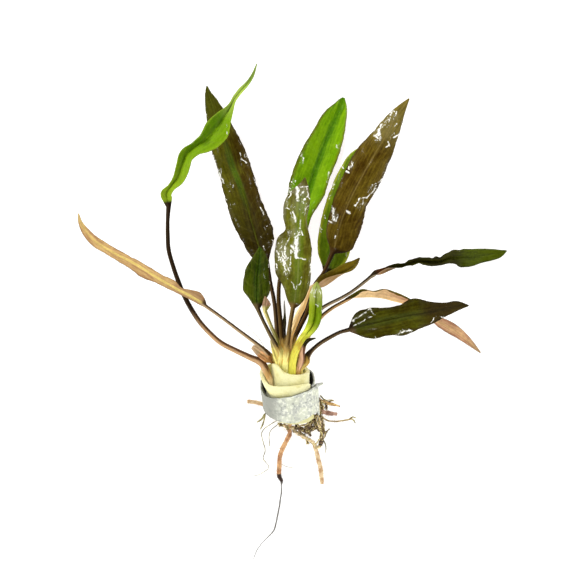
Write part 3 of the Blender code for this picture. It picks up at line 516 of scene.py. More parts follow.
def leafStations(leaf):
    # rows of x, y, z, left reach, left rise, right reach, right rise, half thickness, roundness
    shape = {**leafShape, **leaf.get("shape", {})}
    stalk = [(x, y, z, r, 0, r, 0, r, 1) for x, y, z, r in leaf["stalk"]]
    if leaf["slot"]:
        ring, angle = leaf["slot"]
        wide, deep = shape["sheath"]
        stalk = [(*onBase(ring, angle, height), share * wide, 0, share * wide, 0, deep, 1)
                 for height, share in sheathHeights] + stalk
    blade = [(*row, shape["halfThick"], 0) for row in leaf["blade"]]
    first = blade[0]
    neck = (*first[:7], max(first[3], shape["halfThick"]), 1)
    upper = smoothRows([neck] + blade[1:], bladeStep)
    upper[:, roundPlace] = 1 - ease(np.arange(len(upper)) * bladeStep, 0, shape["neck"])
    upper[:, thickPlace] = np.maximum(upper[:, thickPlace], shape["halfThick"] * leastThick)
    lower = smoothRows(stalk + [neck], stalkStep)
    rows = np.vstack([lower, upper[1:]])
    run = np.concatenate([[0], np.cumsum(np.linalg.norm(np.diff(rows[:, :3], axis=0), axis=1))])
    bladeRun = run[len(lower) - 1]
    growth = np.where(run < bladeRun, run / bladeRun, 1 + (run - bladeRun) / (run[-1] - bladeRun))
    return rows, run, growth


def growLeaf(name, leaf, tree, number):
    rows, run, growth = leafStations(leaf)
    shape = {**leafShape, **leaf.get("shape", {})}
    if shape["turned"]:
        # it shows its underside
        rows[:, 3:7] = rows[:, [5, 6, 3, 4]] * [-1, 1, -1, 1]
    tangent = np.gradient(rows[:, :3], axis=0)
    tangent /= np.linalg.norm(tangent, axis=1)[:, None]
    side = np.cross(tangent, (0, 0, 1))
    side /= np.linalg.norm(side, axis=1)[:, None]
    if leaf["slot"]:
        # a sheath lies round the crown, and the stalk turns level above it
        turn = math.radians(leaf["slot"][1])
        hug = frontAxis * math.cos(turn) - acrossAxis * math.sin(turn)
        hug *= math.copysign(1, hug @ side[0])
        share = (1 - ease(run, hugUntil, levelFrom))[:, None]
        side = side * (1 - share) + hug * share
        side -= tangent * np.sum(side * tangent, axis=1)[:, None]
        side /= np.linalg.norm(side, axis=1)[:, None]
    up = np.cross(side, tangent)
    leftReach, leftRise, rightReach, rightRise = (rows[:, [k]] for k in (3, 4, 5, 6))
    columns = {"spine": rows[:, :3], "halfThick": rows[:, thickPlace],
               "roundness": rows[:, roundPlace], "runMm": run, "growth": growth,
               "leftEdge": up * leftRise - side * leftReach,
               "rightEdge": up * rightRise + side * rightReach,
               "leftUp": up * leftReach + side * leftRise,
               "rightUp": up * rightReach - side * rightRise}
    for key in ("leftUp", "rightUp"):
        columns[key] /= np.linalg.norm(columns[key], axis=1)[:, None]
    source = lineMesh(name, [rows[:, :3]], **columns)
    finish = leafFinish(name, {**leafLook, **leaf["look"]}, number)
    values = {label: float(shape[key]) for label, key in leafInputs.items()}
    piece = growPiece(tree, name, source, {**values, "Seed": float(number), "Material": finish})
    faceOutward(piece)
    dress(piece, leaf.get("node", name))


# Each leaf: the slot of its stalk on the crown (ring radius, angle), the stalk's points
# (x, y, z, radius) and the blade's stations. A station is the midrib's point, then for the
# left and the right margin how far it stands to the side and how far it rises.
# In each look, the glare zones, strokes and margin glints are painted highlights, placed in x, y mm.
leaves = {
    "leaf_curled_left": {
        "slot": None,
        "shape": {"ruffle": 0.35, "pucker": 0.06},
        # Painted shade: its left half is painted darker by the half shift, and its tip darker olive, where
        # the curl is shaded.
        "look": {"slot": "leaf_bright_green", "top": ("64860a", "426204"), "halfShift": 0.4,
                 "rib": "587e04", "ribShare": 0.1, "edge": "92a82a", "edgeShare": 0.35,
                 "core": "b8cc60", "coreShare": 0.85, "coreWide": 6.0, "coreSpan": (1.68, 1.8),
                 "base": "8ca022", "baseShare": 0.6, "tip": "70803c", "tipShare": 0.8,
                 "tipFrom": 1.78, "below": ("7f9a2c", "5a7a14"), "stalk": ("4a2e16", "a88660"),
                 "endSpan": (0.38, 0.52), "stalkEndShare": 0.95,
                 "sheath": ("d4bc88", "b49464"), "sheathLong": 8.0,
                 "glareStrokes": [(-29.4, 84, -29.3, 79.8, 0.2)]},
        "stalk": [(-9.1, -33.6, 21.2, 0.5), (-9.9, -30.9, 21.8, 1.2), (-11.5, -27, 21.8, 1.6),
                  (-13.7, -23, 20.3, 1.7), (-19.1, -20.3, 18, 1.35), (-25.9, -17.1, 16.2, 1.2),
                  (-32.6, -13.5, 15, 1.15), (-37.1, -9.5, 14.5, 1.1), (-41.6, -4.5, 14, 1.1),
                  (-45.7, 1.8, 13.5, 1.1), (-48.8, 7.7, 13.5, 1.1), (-51.5, 14.4, 14, 1.05),
                  (-53.8, 21.2, 15, 1), (-55.6, 27.9, 16.5, 1), (-56, 34.7, 18, 0.95),
                  (-56, 41.4, 20, 0.9)],
        "blade": [(-55.6, 47.3, 22, 1.1, 0, 1.1, 0), (-56.1, 50.2, 23, 2, 0.8, 2, 1),
                  (-56.4, 53, 24, 2.8, 1, 2.4, 2), (-54.6, 56, 25, 1.6, 1, 2, 2.5),
                  (-51.5, 59.9, 26.3, 2.3, 1, 2.9, 3), (-49.3, 65.7, 28, 2.9, 1, 3.6, 3.5),
                  (-47.4, 70.4, 29.2, 3.4, 1, 3.4, 3.5), (-43.6, 73.9, 29.8, 2.6, 1, 3.9, 3.5),
                  (-38.8, 77, 29.6, 3.8, 1, 5.6, 3), (-34.4, 81.9, 28.4, 5.2, 1, 6.2, 2.5),
                  (-30.8, 86.9, 26.4, 4, 1, 3.4, 2.5), (-28.1, 91.4, 24, 1.6, 2, 1.6, 2.5),
                  (-25.9, 95.9, 21, 1.1, 2, 1.1, 2), (-23.6, 99, 18.5, 1.3, 1.2, 1.2, 1.2),
                  (-20.5, 102.4, 15, 1, 0.5, 1, 0.5), (-18.2, 105.8, 11.5, 0.8, 0.2, 0.8, 0.2),
                  (-16, 111.6, 6.5, 0.25, 0, 0.25, 0)],
    },
    "leaf_long_left": {
        "slot": (outerSlots, 173),
        "shape": {"turned": True, "ruffle": 0.9, "ruffleLength": 6.0, "pucker": 0.08,
                  "ribHeight": 0.5},
        "look": {"slot": "leaf_tan_pink", "top": ("7e5836", "644024"), "base": "8a5234",
                 "below": ("b2945f", "98744e"), "belowEdge": "8a5e3c", "edgeShare": 0.6,
                 "belowRib": "c9b562", "rib": "c9b562", "ribShare": 0.7, "ribWide": 0.8,
                 "belowBase": "84684c", "baseShare": 0.8, "belowVein": "946a48", "veinShare": 0.2,
                 "streaked": 0.6, "streak": 0.16, "tip": "7a7060", "tipShare": 0.6, "tipFrom": 1.9,
                 "stalk": ("3a2814", "a28a68"), "stalkSide": -1.0, "stalkEndShare": 0.2,
                 "sheathLong": 17.0},
        "stalk": [(-9.2, -20.3, 21, 1.2), (-11.9, -17.6, 22.5, 1), (-16.4, -14, 24.5, 0.9),
                  (-23.6, -8.6, 27, 0.8), (-32.6, -1.8, 29, 0.75)],
        "blade": [(-38.9, 2.7, 30, 0.8, 0, 0.8, 0), (-41, 4.3, 30, 1.3, -0.5, 2.6, -0.8),
                  (-43.9, 6.1, 30, 1.5, -1, 3.6, -1.5), (-47, 7.9, 29.8, 1.5, -1, 2.4, -1.2),
                  (-49.7, 9.2, 29.5, 1.6, -1, 1.6, -1), (-55.1, 12.2, 28, 1.9, -1.2, 2.9, -1.6),
                  (-60.5, 15.3, 26, 2.3, -1.4, 2.2, -1.4),
                  (-66.4, 19.1, 23.4, 3.7, -1.8, 2.2, -1.5),
                  (-72.2, 22.5, 20.2, 3, -1.6, 1.9, -1.4),
                  (-77.6, 25.2, 16.8, 2.5, -1.5, 2.1, -1.4),
                  (-83.5, 28.4, 12.4, 2.3, -1.2, 2.3, -1.2),
                  (-88.9, 32, 7.8, 2.3, -0.8, 2.1, -0.8), (-92.9, 36.5, 3.6, 2, -0.4, 1.5, -0.4),
                  (-95.3, 40.8, 1.2, 1.2, 0, 0.6, 0), (-96.3, 44.3, 0.4, 0.3, 0, 0.3, 0)],
    },
    "leaf_rear_left": {
        "slot": (outerSlots, -154),
        "shape": {"ruffle": 1.0, "ruffleLength": 7.0, "ragged": 0.22},
        "look": {"slot": "leaf_brown_green", "top": ("4d4a0c", "3a2c06"), "halfShift": -0.2,
                 "core": "46680e", "coreShare": 0.7, "coreWide": 2.2, "coreSpan": (1.36, 1.64),
                 "edge": "33260a", "edgeShare": 0.4, "rib": "565e18", "ribShare": 0.45,
                 "vein": "585320", "veinShare": 0.14, "base": "261e02", "baseShare": 1.3,
                 "baseTo": 1.5, "tip": "3c3e0a", "tipShare": 0.8, "tipFrom": 1.66, "streaked": 0.45,
                 "streak": 0.3, "stalk": ("2a1c0e", "6a5438"), "marginGlints": 0.35,
                 "paintedGlare": [(-32.6, 61.5, 1.2, 8, 0.4), (-27.4, 57, 1.4, 3.4, 0.4)],
                 "glareStrokes": [(-36.2, 71.6, -34, 66.6, 0.35), (-33, 63.4, -31, 58, 0.4),
                             (-34.9, 63.9, -33, 63, 0.3), (-30.4, 51.3, -29.6, 50.6, 0.35),
                             (-23.4, 71.6, -22.8, 68.6, 0.4), (-22.8, 68.6, -20.5, 67, 0.35),
                             (-17.3, 60.3, -16.4, 58.6, 0.4), (-14.6, 47.2, -12.8, 44.2, 0.45),
                             (-11.4, 38.8, -9.8, 39.6, 0.25), (-14.5, 34.2, -13.8, 33, 0.3),
                             (-13.2, 29.4, -12, 27.6, 0.35), (-9, 32.4, -8.6, 29.8, 0.35),
                             (-38.8, 89.1, -38.1, 87.4, 0.25)]},
        "stalk": [(-6.8, -14.9, 15.5, 1.2), (-7.3, -3.6, 16, 1), (-8.3, 5.4, 16, 0.95),
                  (-9.7, 12.2, 15.7, 0.9), (-11, 20, 14.5, 0.95)],
        "blade": [(-11.9, 22.5, 14, 1.5, 0, 1.5, 0), (-13.7, 25.7, 13.2, 4.2, 1, 4.8, 1),
                  (-16, 32.4, 11.2, 6.4, 1.5, 8.1, 2), (-18.7, 41.4, 8.8, 8.2, 1.5, 7.9, 2.5),
                  (-20.9, 49, 6.8, 8.5, 1, 6.9, 2.5), (-23.6, 57.2, 4.8, 8, 1.5, 7.2, 2),
                  (-26.8, 64.8, 3.2, 6.7, 2, 8, 1), (-29.3, 72.9, 1.8, 6.9, 1, 7.3, 0.5),
                  (-31.7, 80.6, 0.8, 5.9, 0.3, 5.9, 0.3), (-34, 87.3, 0.4, 4.7, 0, 4.6, 0),
                  (-36.2, 93.2, 0.4, 3.2, 0, 3.4, 0), (-38, 98.6, 0.4, 1.4, 0, 1.5, 0),
                  (-38.5, 101.7, 0.4, 0.3, 0, 0.3, 0)],
    },
    "leaf_short_dark": {
        "slot": (outerSlots, 140),
        "shape": {"ruffle": 0.7, "ruffleLength": 5.0},
        "look": {"slot": "leaf_dark_green", "top": ("364006", "242f03"), "sideTone": -0.12,
                 "core": "2b4403", "coreShare": 0.6, "coreWide": 1.8, "edge": "40400c",
                 "edgeShare": 0.5, "rib": "182403", "ribShare": 0.6, "streaked": 0.5,
                 "streak": 0.3, "stalk": ("2a2010", "7a6844"), "marginGlints": 0.2,
                 "glareStrokes": [(-10.3, 13.8, -10, 12.8, 0.3), (-10.6, 21.6, -10.8, 20, 0.25)]},
        "stalk": [(-5.2, -19.4, 24, 1.3), (-7.9, -14, 26, 1), (-10.3, -9.5, 27.5, 0.9),
                  (-13.7, -2.7, 29.5, 0.8)],
        "blade": [(-15.5, 1.4, 31, 1, 0, 1, 0), (-16, 5.4, 32, 2.9, 0.5, 4, 0.5),
                  (-16, 9.9, 32.6, 6.1, 1.2, 6.1, 1.2), (-16, 14.4, 32.8, 5.9, 1.5, 5.9, 1.5),
                  (-15.5, 18.9, 32.5, 5.4, 1.5, 5, 1.2), (-15, 23.4, 31.6, 3.4, 0.8, 4.2, 0.8),
                  (-14.7, 27, 30.6, 1.6, 0.3, 2.2, 0.3), (-14.6, 29.3, 30, 0.3, 0, 0.3, 0)],
    },
    "leaf_front_mottled": {
        "slot": (outerSlots, 108),
        "shape": {"ruffle": 1.1, "ruffleLength": 8.0, "pucker": 0.22},
        "look": {"slot": "leaf_dark_green", "top": ("5e6018", "47420e"), "core": "5c7416",
                 "coreShare": 0.55, "coreWide": 3.2, "edge": "3a3208", "edgeShare": 0.5,
                 "rib": "7c8046", "ribShare": 0.4, "vein": "74763a", "base": "43460e",
                 "baseShare": 0.8, "tip": "463a16", "tipShare": 0.85, "tipFrom": 1.76,
                 "streak": 0.3, "stalk": ("4a3410", "8a7040"), "marginGlints": 0.5, "glareHaze": 0.3,
                 "paintedGlare": [(3.6, 54.3, 4.2, 3.6, 0.6), (3.6, 48, 4.6, 4, 0.4),
                          (-2.7, 49, 1.6, 3, 0.7), (0.4, 42, 1.6, 3.4, 0.7), (1, 35.6, 3.6, 2.6, 0.6),
                          (1.4, 28.6, 2.2, 4.4, 0.7), (-4.4, 26.6, 3.4, 6, 0.85),
                          (-3, 20.6, 2, 5.4, 0.6), (8.4, 19, 0.9, 4.6, 0.6)],
                 "glareStrokes": [(2.2, 55.8, 2.3, 50, 1.0), (3.4, 56.3, 7, 56.3, 0.6),
                             (6.1, 56.3, 7.6, 50.6, 0.45), (7, 52, 4.2, 49.6, 0.4),
                             (-0.2, 54.9, -1.6, 51.3, 0.4), (-1.2, 46.2, -3.2, 46.4, 0.35),
                             (0.3, 45, 1.5, 40.7, 0.7), (-1, 45.6, -0.7, 42.6, 0.3),
                             (6.1, 47.2, 5.7, 43.2, 0.3), (3.5, 41.2, 3.2, 37.6, 0.45),
                             (4.1, 36.4, 4.4, 34.4, 0.55), (3.6, 34.9, 0.9, 33.3, 0.45),
                             (1.8, 33.3, 1.6, 24.6, 1.2), (-0.5, 29.7, 1.4, 27, 0.7),
                             (2.2, 24.3, 5.6, 23.6, 0.6), (-0.7, 27.9, -1.1, 19.8, 0.4),
                             (-7.2, 27.5, -5, 24.6, 0.35), (-4.8, 25, -3.6, 20.5, 0.4),
                             (-3.8, 20.7, -2.2, 14.8, 0.35), (-3.6, 23, -1.6, 18.6, 0.35),
                             (-4.4, 25.8, -3.4, 24.3, 0.45), (-5.2, 27, -2.9, 27.4, 0.3),
                             (-0.9, 34.6, -3.1, 29.4, 0.25), (-7.4, 21.4, -6.8, 19.4, 0.5),
                             (-0.6, 14, 1.1, 10.3, 0.35), (3.9, 15.6, 3.3, 12.4, 0.3),
                             (3.3, 12.4, 1.2, 10.4, 0.3), (8, 21.8, 8.3, 17.8, 0.35),
                             (5.3, 18.7, 5.4, 17.6, 0.2), (1.6, 3.8, 3, 2.6, 0.4)]},
        "stalk": [(-2.9, -19.4, 26, 1.3), (-2, -12.6, 29, 1.1), (-1.1, -5.9, 31.5, 1)],
        "blade": [(0.2, 1.8, 33.5, 1, 0, 1, 0), (0.8, 4.5, 34.2, 3, 0.5, 3.2, 0.5),
                  (1.6, 9.9, 35.4, 5.4, 1, 5.4, 0.8), (2.5, 16.7, 36.8, 10, 1.5, 5.8, 0.5),
                  (2.7, 22.5, 37.8, 10.6, 1.5, 5.6, 0), (2.9, 28.8, 38.6, 10.6, 1, 5.8, 0),
                  (3.4, 34, 39, 9.2, 0.5, 4.4, 0.5), (3.5, 36.6, 39, 6.9, 0.5, 3.6, 0.6),
                  (3.6, 41.4, 39, 7.6, 0.5, 3, 0.8), (3.8, 48.2, 38.4, 7.6, 0.5, 3.8, 0.5),
                  (4.7, 54, 37.2, 4.8, 0, 3.2, 0), (5.3, 58, 36.2, 1.6, 0, 1.4, 0),
                  (5.6, 60.3, 35.5, 0.3, 0, 0.3, 0)],
    },
    "leaf_rear_bright": {
        "slot": (innerSlots, -135),
        "shape": {"pucker": 0.12},
        "look": {"slot": "leaf_bright_green", "top": ("6c920a", "558004"), "core": "3d6a02",
                 "coreShare": 0.9, "coreWide": 2.5, "edge": "58560f", "edgeShare": 0.8,
                 "rib": "447604", "ribShare": 0.3, "vein": "7ca022", "veinShare": 0.16,
                 "base": "4c6a0c", "baseShare": 0.4, "streaked": 0.3, "streak": 0.16, "sideTone": 0.25,
                 "stalk": ("241808", "5a4420"), "marginGlints": 0.35, "glareHaze": 0.15,
                 "paintedGlare": [(4.2, 69.3, 1, 3, 0.5), (-1.2, 54.4, 1.6, 4, 0.7)],
                 "glareStrokes": [(4.3, 71, 4.7, 69.4, 0.4), (5.1, 69.2, 4.8, 67.2, 0.4),
                             (3.5, 67.4, 4.7, 66.7, 0.35), (16.4, 63, 15.6, 58.2, 0.4),
                             (17.2, 61, 16.9, 59.6, 0.25), (-0.6, 58.8, 0.6, 57.2, 0.25),
                             (1.1, 59.4, 1.2, 58.2, 0.25), (-1.2, 54.9, -1.9, 52.4, 0.3),
                             (-2, 56.3, -0.4, 55.6, 0.25), (-2.4, 50.3, -1.8, 48.4, 0.35),
                             (20, 75.2, 20, 73.8, 0.3)]},
        "stalk": [(-4.4, -14.9, 17.7, 1.2), (-5.4, -3.6, 19.2, 1), (-6.2, 5.4, 19.2, 0.95),
                  (-6, 12.2, 18.6, 0.9), (-5, 18, 17.6, 0.9)],
        "blade": [(-2.5, 25.2, 16, 1.2, 0, 1.2, 0), (-0.7, 27.9, 15.3, 3, 0.5, 2.5, 0.5),
                  (1.6, 34.7, 13.5, 5, 1.2, 4, 1), (4.3, 44.6, 11.3, 7.3, 2, 4.9, 1.5),
                  (7, 53.6, 9.2, 9.2, 2, 7.3, 2), (10.1, 63, 7, 9.5, 2, 7.2, 1.5),
                  (13.1, 71.6, 4.9, 8.6, 2, 7.7, 1), (16.2, 79.7, 2.9, 7, 1.5, 7.1, 1),
                  (19.4, 86.9, 1.3, 6.1, 0.6, 5.1, 0.5), (22, 93, 0.5, 3.2, 0, 2.7, 0),
                  (22.6, 95.2, 0.4, 1.8, 0, 1.4, 0), (23, 96.5, 0.4, 0.6, 0, 0.6, 0)],
    },
    "leaf_rear_right": {
        "slot": (outerSlots, -88),
        "shape": {"pucker": 0.12},
        "look": {"slot": "leaf_yellow_green", "top": ("5c740e", "465e08"), "core": "26480a",
                 "coreShare": 0.8, "coreWide": 2.6, "coreSpan": (0.9, 1.5), "edge": "8a9220",
                 "edgeShare": 0.9, "rib": "2c4006", "ribShare": 0.6, "base": "3a4406",
                 "baseShare": 0.6, "streaked": 0.4, "streak": 0.18, "stalk": ("1c1206", "4a3614"),
                 "marginGlints": 0.4, "paintedGlare": [(18, 55, 0.8, 2.4, 0.5)],
                 "glareStrokes": [(14.1, 43.5, 15, 41.9, 0.4), (12.5, 38.6, 13.1, 37.4, 0.35),
                             (12.3, 36.6, 12.8, 36, 0.35), (24.5, 25.9, 24.7, 25.2, 0.55),
                             (16.6, 51.9, 17, 52.4, 0.4), (18.4, 57.4, 19, 57.2, 0.45),
                             (22.4, 65.6, 22.8, 64.8, 0.4)]},
        "stalk": [(-1.1, -12.6, 12.8, 1.1), (1.6, -6.3, 13.4, 1), (4.7, -0.5, 13.9, 0.95),
                  (7.4, 6.3, 14, 0.9), (9.9, 12, 13.7, 0.9)],
        "blade": [(14.6, 18, 13, 1, 0, 1, 0), (15.6, 20.5, 12.8, 2.6, 0.3, 4.5, 0.3),
                  (16.6, 23.5, 12.4, 5.1, 0.6, 6.9, 0.6), (17.8, 27.9, 12, 6.8, 1, 8, 1),
                  (19.6, 36.9, 10.5, 7.5, 1.5, 7.5, 1), (21.4, 45.9, 9, 7.2, 1.5, 7, 1),
                  (23.6, 54, 7.5, 6.4, 1.2, 6, 1), (26.3, 61.7, 6, 5.7, 1, 5, 0.8),
                  (29.5, 69.3, 4, 4, 0.6, 3.6, 0.6), (33.5, 75.6, 2.5, 0.3, 0, 0.3, 0)],
    },
    "leaf_broad_brown": {
        "slot": (outerSlots, -56),
        "shape": {"ruffle": 1.0, "ruffleLength": 8.0, "pucker": 0.2},
        "look": {"slot": "leaf_brown_green", "top": ("574811", "392704"), "edge": "2c1d05",
                 "edgeShare": 0.5, "cloudSize": 11.0, "rib": "786632", "ribShare": 0.5, "vein": "6c5824",
                 "tip": "685c26", "tipShare": 0.75, "tipFrom": 1.6,
                 "base": "3e2e06", "baseShare": 0.4, "streaked": 0.4, "streak": 0.3,
                 "sideTone": -0.12, "stalk": ("2a1a0a", "5e4420"), "marginGlints": 0.25, "glareHaze": 0.14,
                 "paintedGlare": [(38.4, 79.4, 2, 4.4, 0.7), (44.6, 87.4, 2.8, 3.4, 0.7),
                          (42, 82, 4.4, 5.4, 0.4), (25.9, 65.8, 2.4, 2.4, 0.6),
                          (31, 48, 3, 3, 0.35), (36.8, 54.4, 3, 2.4, 0.5), (18.6, 43, 1.8, 4, 0.7)],
                 "glareStrokes": [(44.9, 90.4, 46, 89.6, 0.4), (46.6, 90.6, 46.8, 89, 0.3),
                             (44.2, 89.1, 43.5, 85.2, 0.4), (46.9, 89.6, 45.6, 87, 0.4),
                             (47.3, 85.4, 45.8, 83.1, 0.35), (42, 86, 41.2, 85.2, 0.4),
                             (39.9, 84.2, 39.5, 82.2, 0.5), (38.9, 82.2, 38.4, 79.6, 0.7),
                             (36.8, 79.3, 38.4, 78, 0.75), (39.4, 79.7, 39.5, 77.2, 0.45),
                             (37.2, 76.7, 38.5, 77, 0.35), (45.3, 78.4, 47.7, 80, 0.4),
                             (43, 76.4, 43.6, 74.6, 0.5), (41.8, 73.8, 43.4, 74.6, 0.45),
                             (26.4, 67.4, 27.1, 65.4, 0.45), (25.4, 64.8, 27, 65.6, 0.4),
                             (24.1, 63, 25.4, 62.8, 0.45), (41, 61, 39.4, 58.6, 0.4),
                             (39.4, 58.6, 35.9, 57, 0.35), (37.6, 56.6, 35.4, 53.4, 0.4),
                             (35.4, 53.4, 33.4, 51.2, 0.45), (33.2, 51.2, 30.4, 51.1, 0.45),
                             (30.2, 50.8, 28.2, 47.4, 0.5), (32, 50.2, 31.2, 48.4, 0.3),
                             (37.4, 55.2, 38.2, 54, 0.3), (24.4, 45.2, 25.8, 44.2, 0.6),
                             (17.8, 47.6, 18.3, 43.4, 0.6), (18.3, 43.2, 19, 41.6, 0.85),
                             (16.1, 41, 17.7, 40.3, 0.5), (20.1, 42.2, 19.4, 41, 0.35),
                             (20.4, 37, 20, 35.6, 0.25), (19.4, 34.4, 19, 33, 0.3)]},
        "stalk": [(0.7, -12.6, 15.5, 1.1), (3.4, -6.8, 17, 1), (6.1, -1.4, 18.5, 0.95),
                  (8.3, 5.4, 19.5, 0.9), (10.6, 12.2, 20.3, 0.85), (14.6, 18.9, 21.3, 0.8)],
        "blade": [(18, 26.6, 22.5, 1.2, 0, 1.2, 0), (18.8, 29, 22.8, 2.4, 0.3, 6.8, -0.3),
                  (19.8, 33, 23.4, 4.7, 0.5, 8.5, -0.8), (21.8, 40.5, 24.8, 5.9, 1, 9.7, -1.5),
                  (25.9, 50.4, 26.5, 7.1, 1.5, 7.9, -2.5), (30.4, 59.4, 27.5, 7.8, 1, 8.8, -3),
                  (35.3, 68.4, 27, 8, -0.5, 8.2, -2), (40.7, 77.4, 25, 6.1, -1, 6.2, -1),
                  (45.7, 86.4, 21.5, 3.8, -0.5, 4.1, -0.5), (49.7, 92.3, 18.5, 1.8, 0, 1.8, 0),
                  (52.4, 95.9, 16.5, 0.3, 0, 0.3, 0)],
    },
    "leaf_short_folded": {
        "slot": (innerSlots, 45),
        "shape": {"ruffle": 0.4, "ruffleLength": 5.0, "pucker": 0.06},
        "look": {"slot": "leaf_brown_green", "top": ("60500c", "4a3808"), "tip": "302208",
                 "tipShare": 0.8, "below": ("a08260", "8b6e42"), "belowEdge": "6a4a28",
                 "stalk": ("c8a062", "fcdca0"), "stalkEndShare": 0.0, "sheathLong": 20.0},
        "stalk": [(-1.4, -14.9, 21.8, 1.1), (-0.8, -10.4, 22.8, 1.2), (0.8, -5.9, 23.8, 1.35),
                  (2.6, -1.4, 24.8, 1.4), (4.6, 2.3, 25.5, 1.3), (5.8, 5.6, 26.2, 1.1)],
        "blade": [(8.3, 11, 27, 0.9, 0.2, 0.9, 0.2), (11, 11, 27.8, 2.6, 1, -0.6, 1.6),
                  (13.8, 11.6, 28.5, 4.6, 1.2, -2.2, 3), (17.2, 13.6, 29, 4.6, 1.2, -2.4, 3),
                  (20.6, 16, 29, 4, 1.2, -0.8, 3), (23.8, 17.8, 28.8, 3.9, 1.2, 0.4, 2),
                  (26.6, 19.8, 28.4, 3.3, 0.8, 1.2, 1.2), (28.6, 22, 28, 1.9, 0.4, 0.9, 0.6),
                  (30.1, 24.3, 27.6, 0.3, 0, 0.3, 0)],
    },
    "leaf_long_right": {
        "slot": (innerSlots, -45),
        "shape": {"ruffle": 1.2, "ruffleLength": 5.0, "pucker": 0.06},
        "look": {"slot": "leaf_dark_green", "top": ("2a2a04", "1d1a02"), "rib": "2c3408",
                 "vein": "3a4214", "below": ("8b6a44", "5c4c2c"), "belowEdge": "3a2c18",
                 "edge": "2c2606", "stalk": ("3a3020", "a08e70"), "stalkEndShare": 0.4,
                 "tip": "3f4a06", "tipShare": 0.8, "tipFrom": 1.58,
                 "base": "54301a", "baseShare": 2.0, "baseTo": 1.15, "streaked": 0.4, "streak": 0.3,
                 "stalkSide": -1.0, "marginGlints": 0.2},
        "stalk": [(3.4, -17.1, 18.6, 1.1), (5.6, -11.7, 20.4, 1), (8.8, -4.5, 22.3, 0.9),
                  (13.3, 1.8, 23, 0.85), (16.9, 3.9, 23, 0.8), (21.4, 6.1, 22.6, 0.8),
                  (25.9, 8.7, 22, 0.75), (30.4, 12, 21.2, 0.75)],
        "blade": [(35.3, 15.9, 20.5, 0.9, 0.2, 0.7, 0.2), (37.2, 16.6, 20.3, 2.2, 0.6, 0.3, 1.8),
                  (39.4, 17, 20, 2.4, 1.2, -1.2, 3), (43.9, 18.8, 19, 2, 2, -0.9, 3.4),
                  (48.4, 20.5, 18, 1.5, 2.6, 0.8, 2.8), (52.9, 21.8, 17, 1.4, 3.5, 1.1, 3),
                  (57.4, 22.8, 15.5, 2.1, 2.8, 1.4, 2.4), (61.9, 22.6, 14, 2.2, 3.2, 1.8, 2.2),
                  (66.4, 22.7, 12, 2.1, 3, 1.8, 2), (70.9, 24.2, 9.8, 3.4, 2, 2.7, 1.5),
                  (75.4, 24.3, 7.2, 3.9, 1.5, 4.2, 1), (79.9, 24.5, 4.9, 3.9, 1, 4.1, 0.6),
                  (84.4, 25.2, 2.9, 3.3, 0.6, 3.2, 0.3), (88.9, 25.9, 1.4, 2.6, 0.2, 2.9, 0.1),
                  (93.4, 26.6, 0.5, 1.5, 0, 2, 0), (96.4, 27.6, 0.4, 0.3, 0, 0.3, 0)],
    },
    "leaf_tan_right": {
        "slot": (outerSlots, -23),
        "shape": {"ruffle": 0.9, "ruffleLength": 5.5, "pucker": 0.08},
        "look": {"slot": "leaf_tan_pink", "top": ("684420", "4c3012"), "below": ("bf9a70", "a6765a"),
                 "belowEdge": "8e5e44", "edgeShare": 0.55, "belowRib": "d8b87c", "ribShare": 0.7,
                 "ribWide": 0.7, "belowBase": "f0d298", "baseShare": 1.0, "baseTo": 1.45,
                 "belowVein": "8e6444", "veinShare": 0.2, "tip": "6a5440", "tipShare": 0.9,
                 "tipFrom": 1.84, "streaked": 0.75, "streak": 0.2, "stalk": ("3a2810", "b08e5e"),
                 "stalkSide": -1.0, "stalkEndShare": 0.1},
        "stalk": [(5.2, -14.9, 15.6, 1.1), (7.9, -9.5, 15.7, 1), (10.6, -5, 15.7, 0.9),
                  (13.5, -1.6, 15.5, 0.85), (18.2, 2, 15, 0.8)],
        "blade": [(23.6, 5, 14.5, 0.8, 0.2, 0.8, 0.2), (27.5, 6.4, 14.2, 2, 1.5, -0.2, 1.8),
                  (31.5, 6.8, 13.8, 3.6, 1, -2.6, 3.6), (36, 6.8, 13.2, 2.7, 0.6, -2.5, 3.6),
                  (40.5, 6.4, 12.6, 4.1, 0.3, -3.6, 3.6), (45, 5.2, 12, 4, 0.3, -2.8, 3.4),
                  (49.5, 4, 11.3, 3.4, 0.6, -2.6, 3), (54.5, 1.9, 10.3, 2.6, -1, -2.2, 2.6),
                  (60, -1.2, 8.6, 1, -2.6, -2.6, 1.8), (65, -4.3, 6.8, -1.4, -2.2, -2.6, 0.8),
                  (70, -6.8, 5, -2.4, -1.2, -2.9, 0.2), (75.4, -10.1, 3, -2.2, -0.6, -2.3, 0),
                  (80.3, -14.2, 1.5, -1.4, -0.2, -1.4, 0), (84.6, -18.3, 0.5, -0.3, 0, -0.3, 0)],
    },
    "leaf_broad_right": {
        "slot": (outerSlots, 10),
        "shape": {"ruffle": 1.0, "ruffleLength": 7.0, "pucker": 0.2, "sheath": (2.5, 1.1)},
        "look": {"slot": "leaf_brown_green", "top": ("3f3f08", "302a03"), "core": "404f0e",
                 "coreShare": 0.35, "coreSpan": (0.9, 1.55), "edge": "2a2206",
                 "edgeShare": 0.6, "sideTone": 0.2, "tip": "2a1e03", "tipShare": 0.85, "tipFrom": 1.5,
                 "rib": "262203", "ribShare": 0.6, "vein": "464c18", "veinShare": 0.14,
                 "base": "242003", "baseShare": 0.5, "baseTo": 1.2, "streaked": 0.4, "streak": 0.3,
                 "stalk": ("241a10", "6a563a"), "stalkSide": -1.0, "marginGlints": 0.25,
                 "sheath": ("dcc870", "a07c3c"), "sheathLong": 16.0,
                 "paintedGlare": [(31, -1.6, 3.6, 1.5, 0.5), (34.2, 0.6, 2, 1.8, 0.5),
                          (50, -8.8, 4, 1.2, 0.5)],
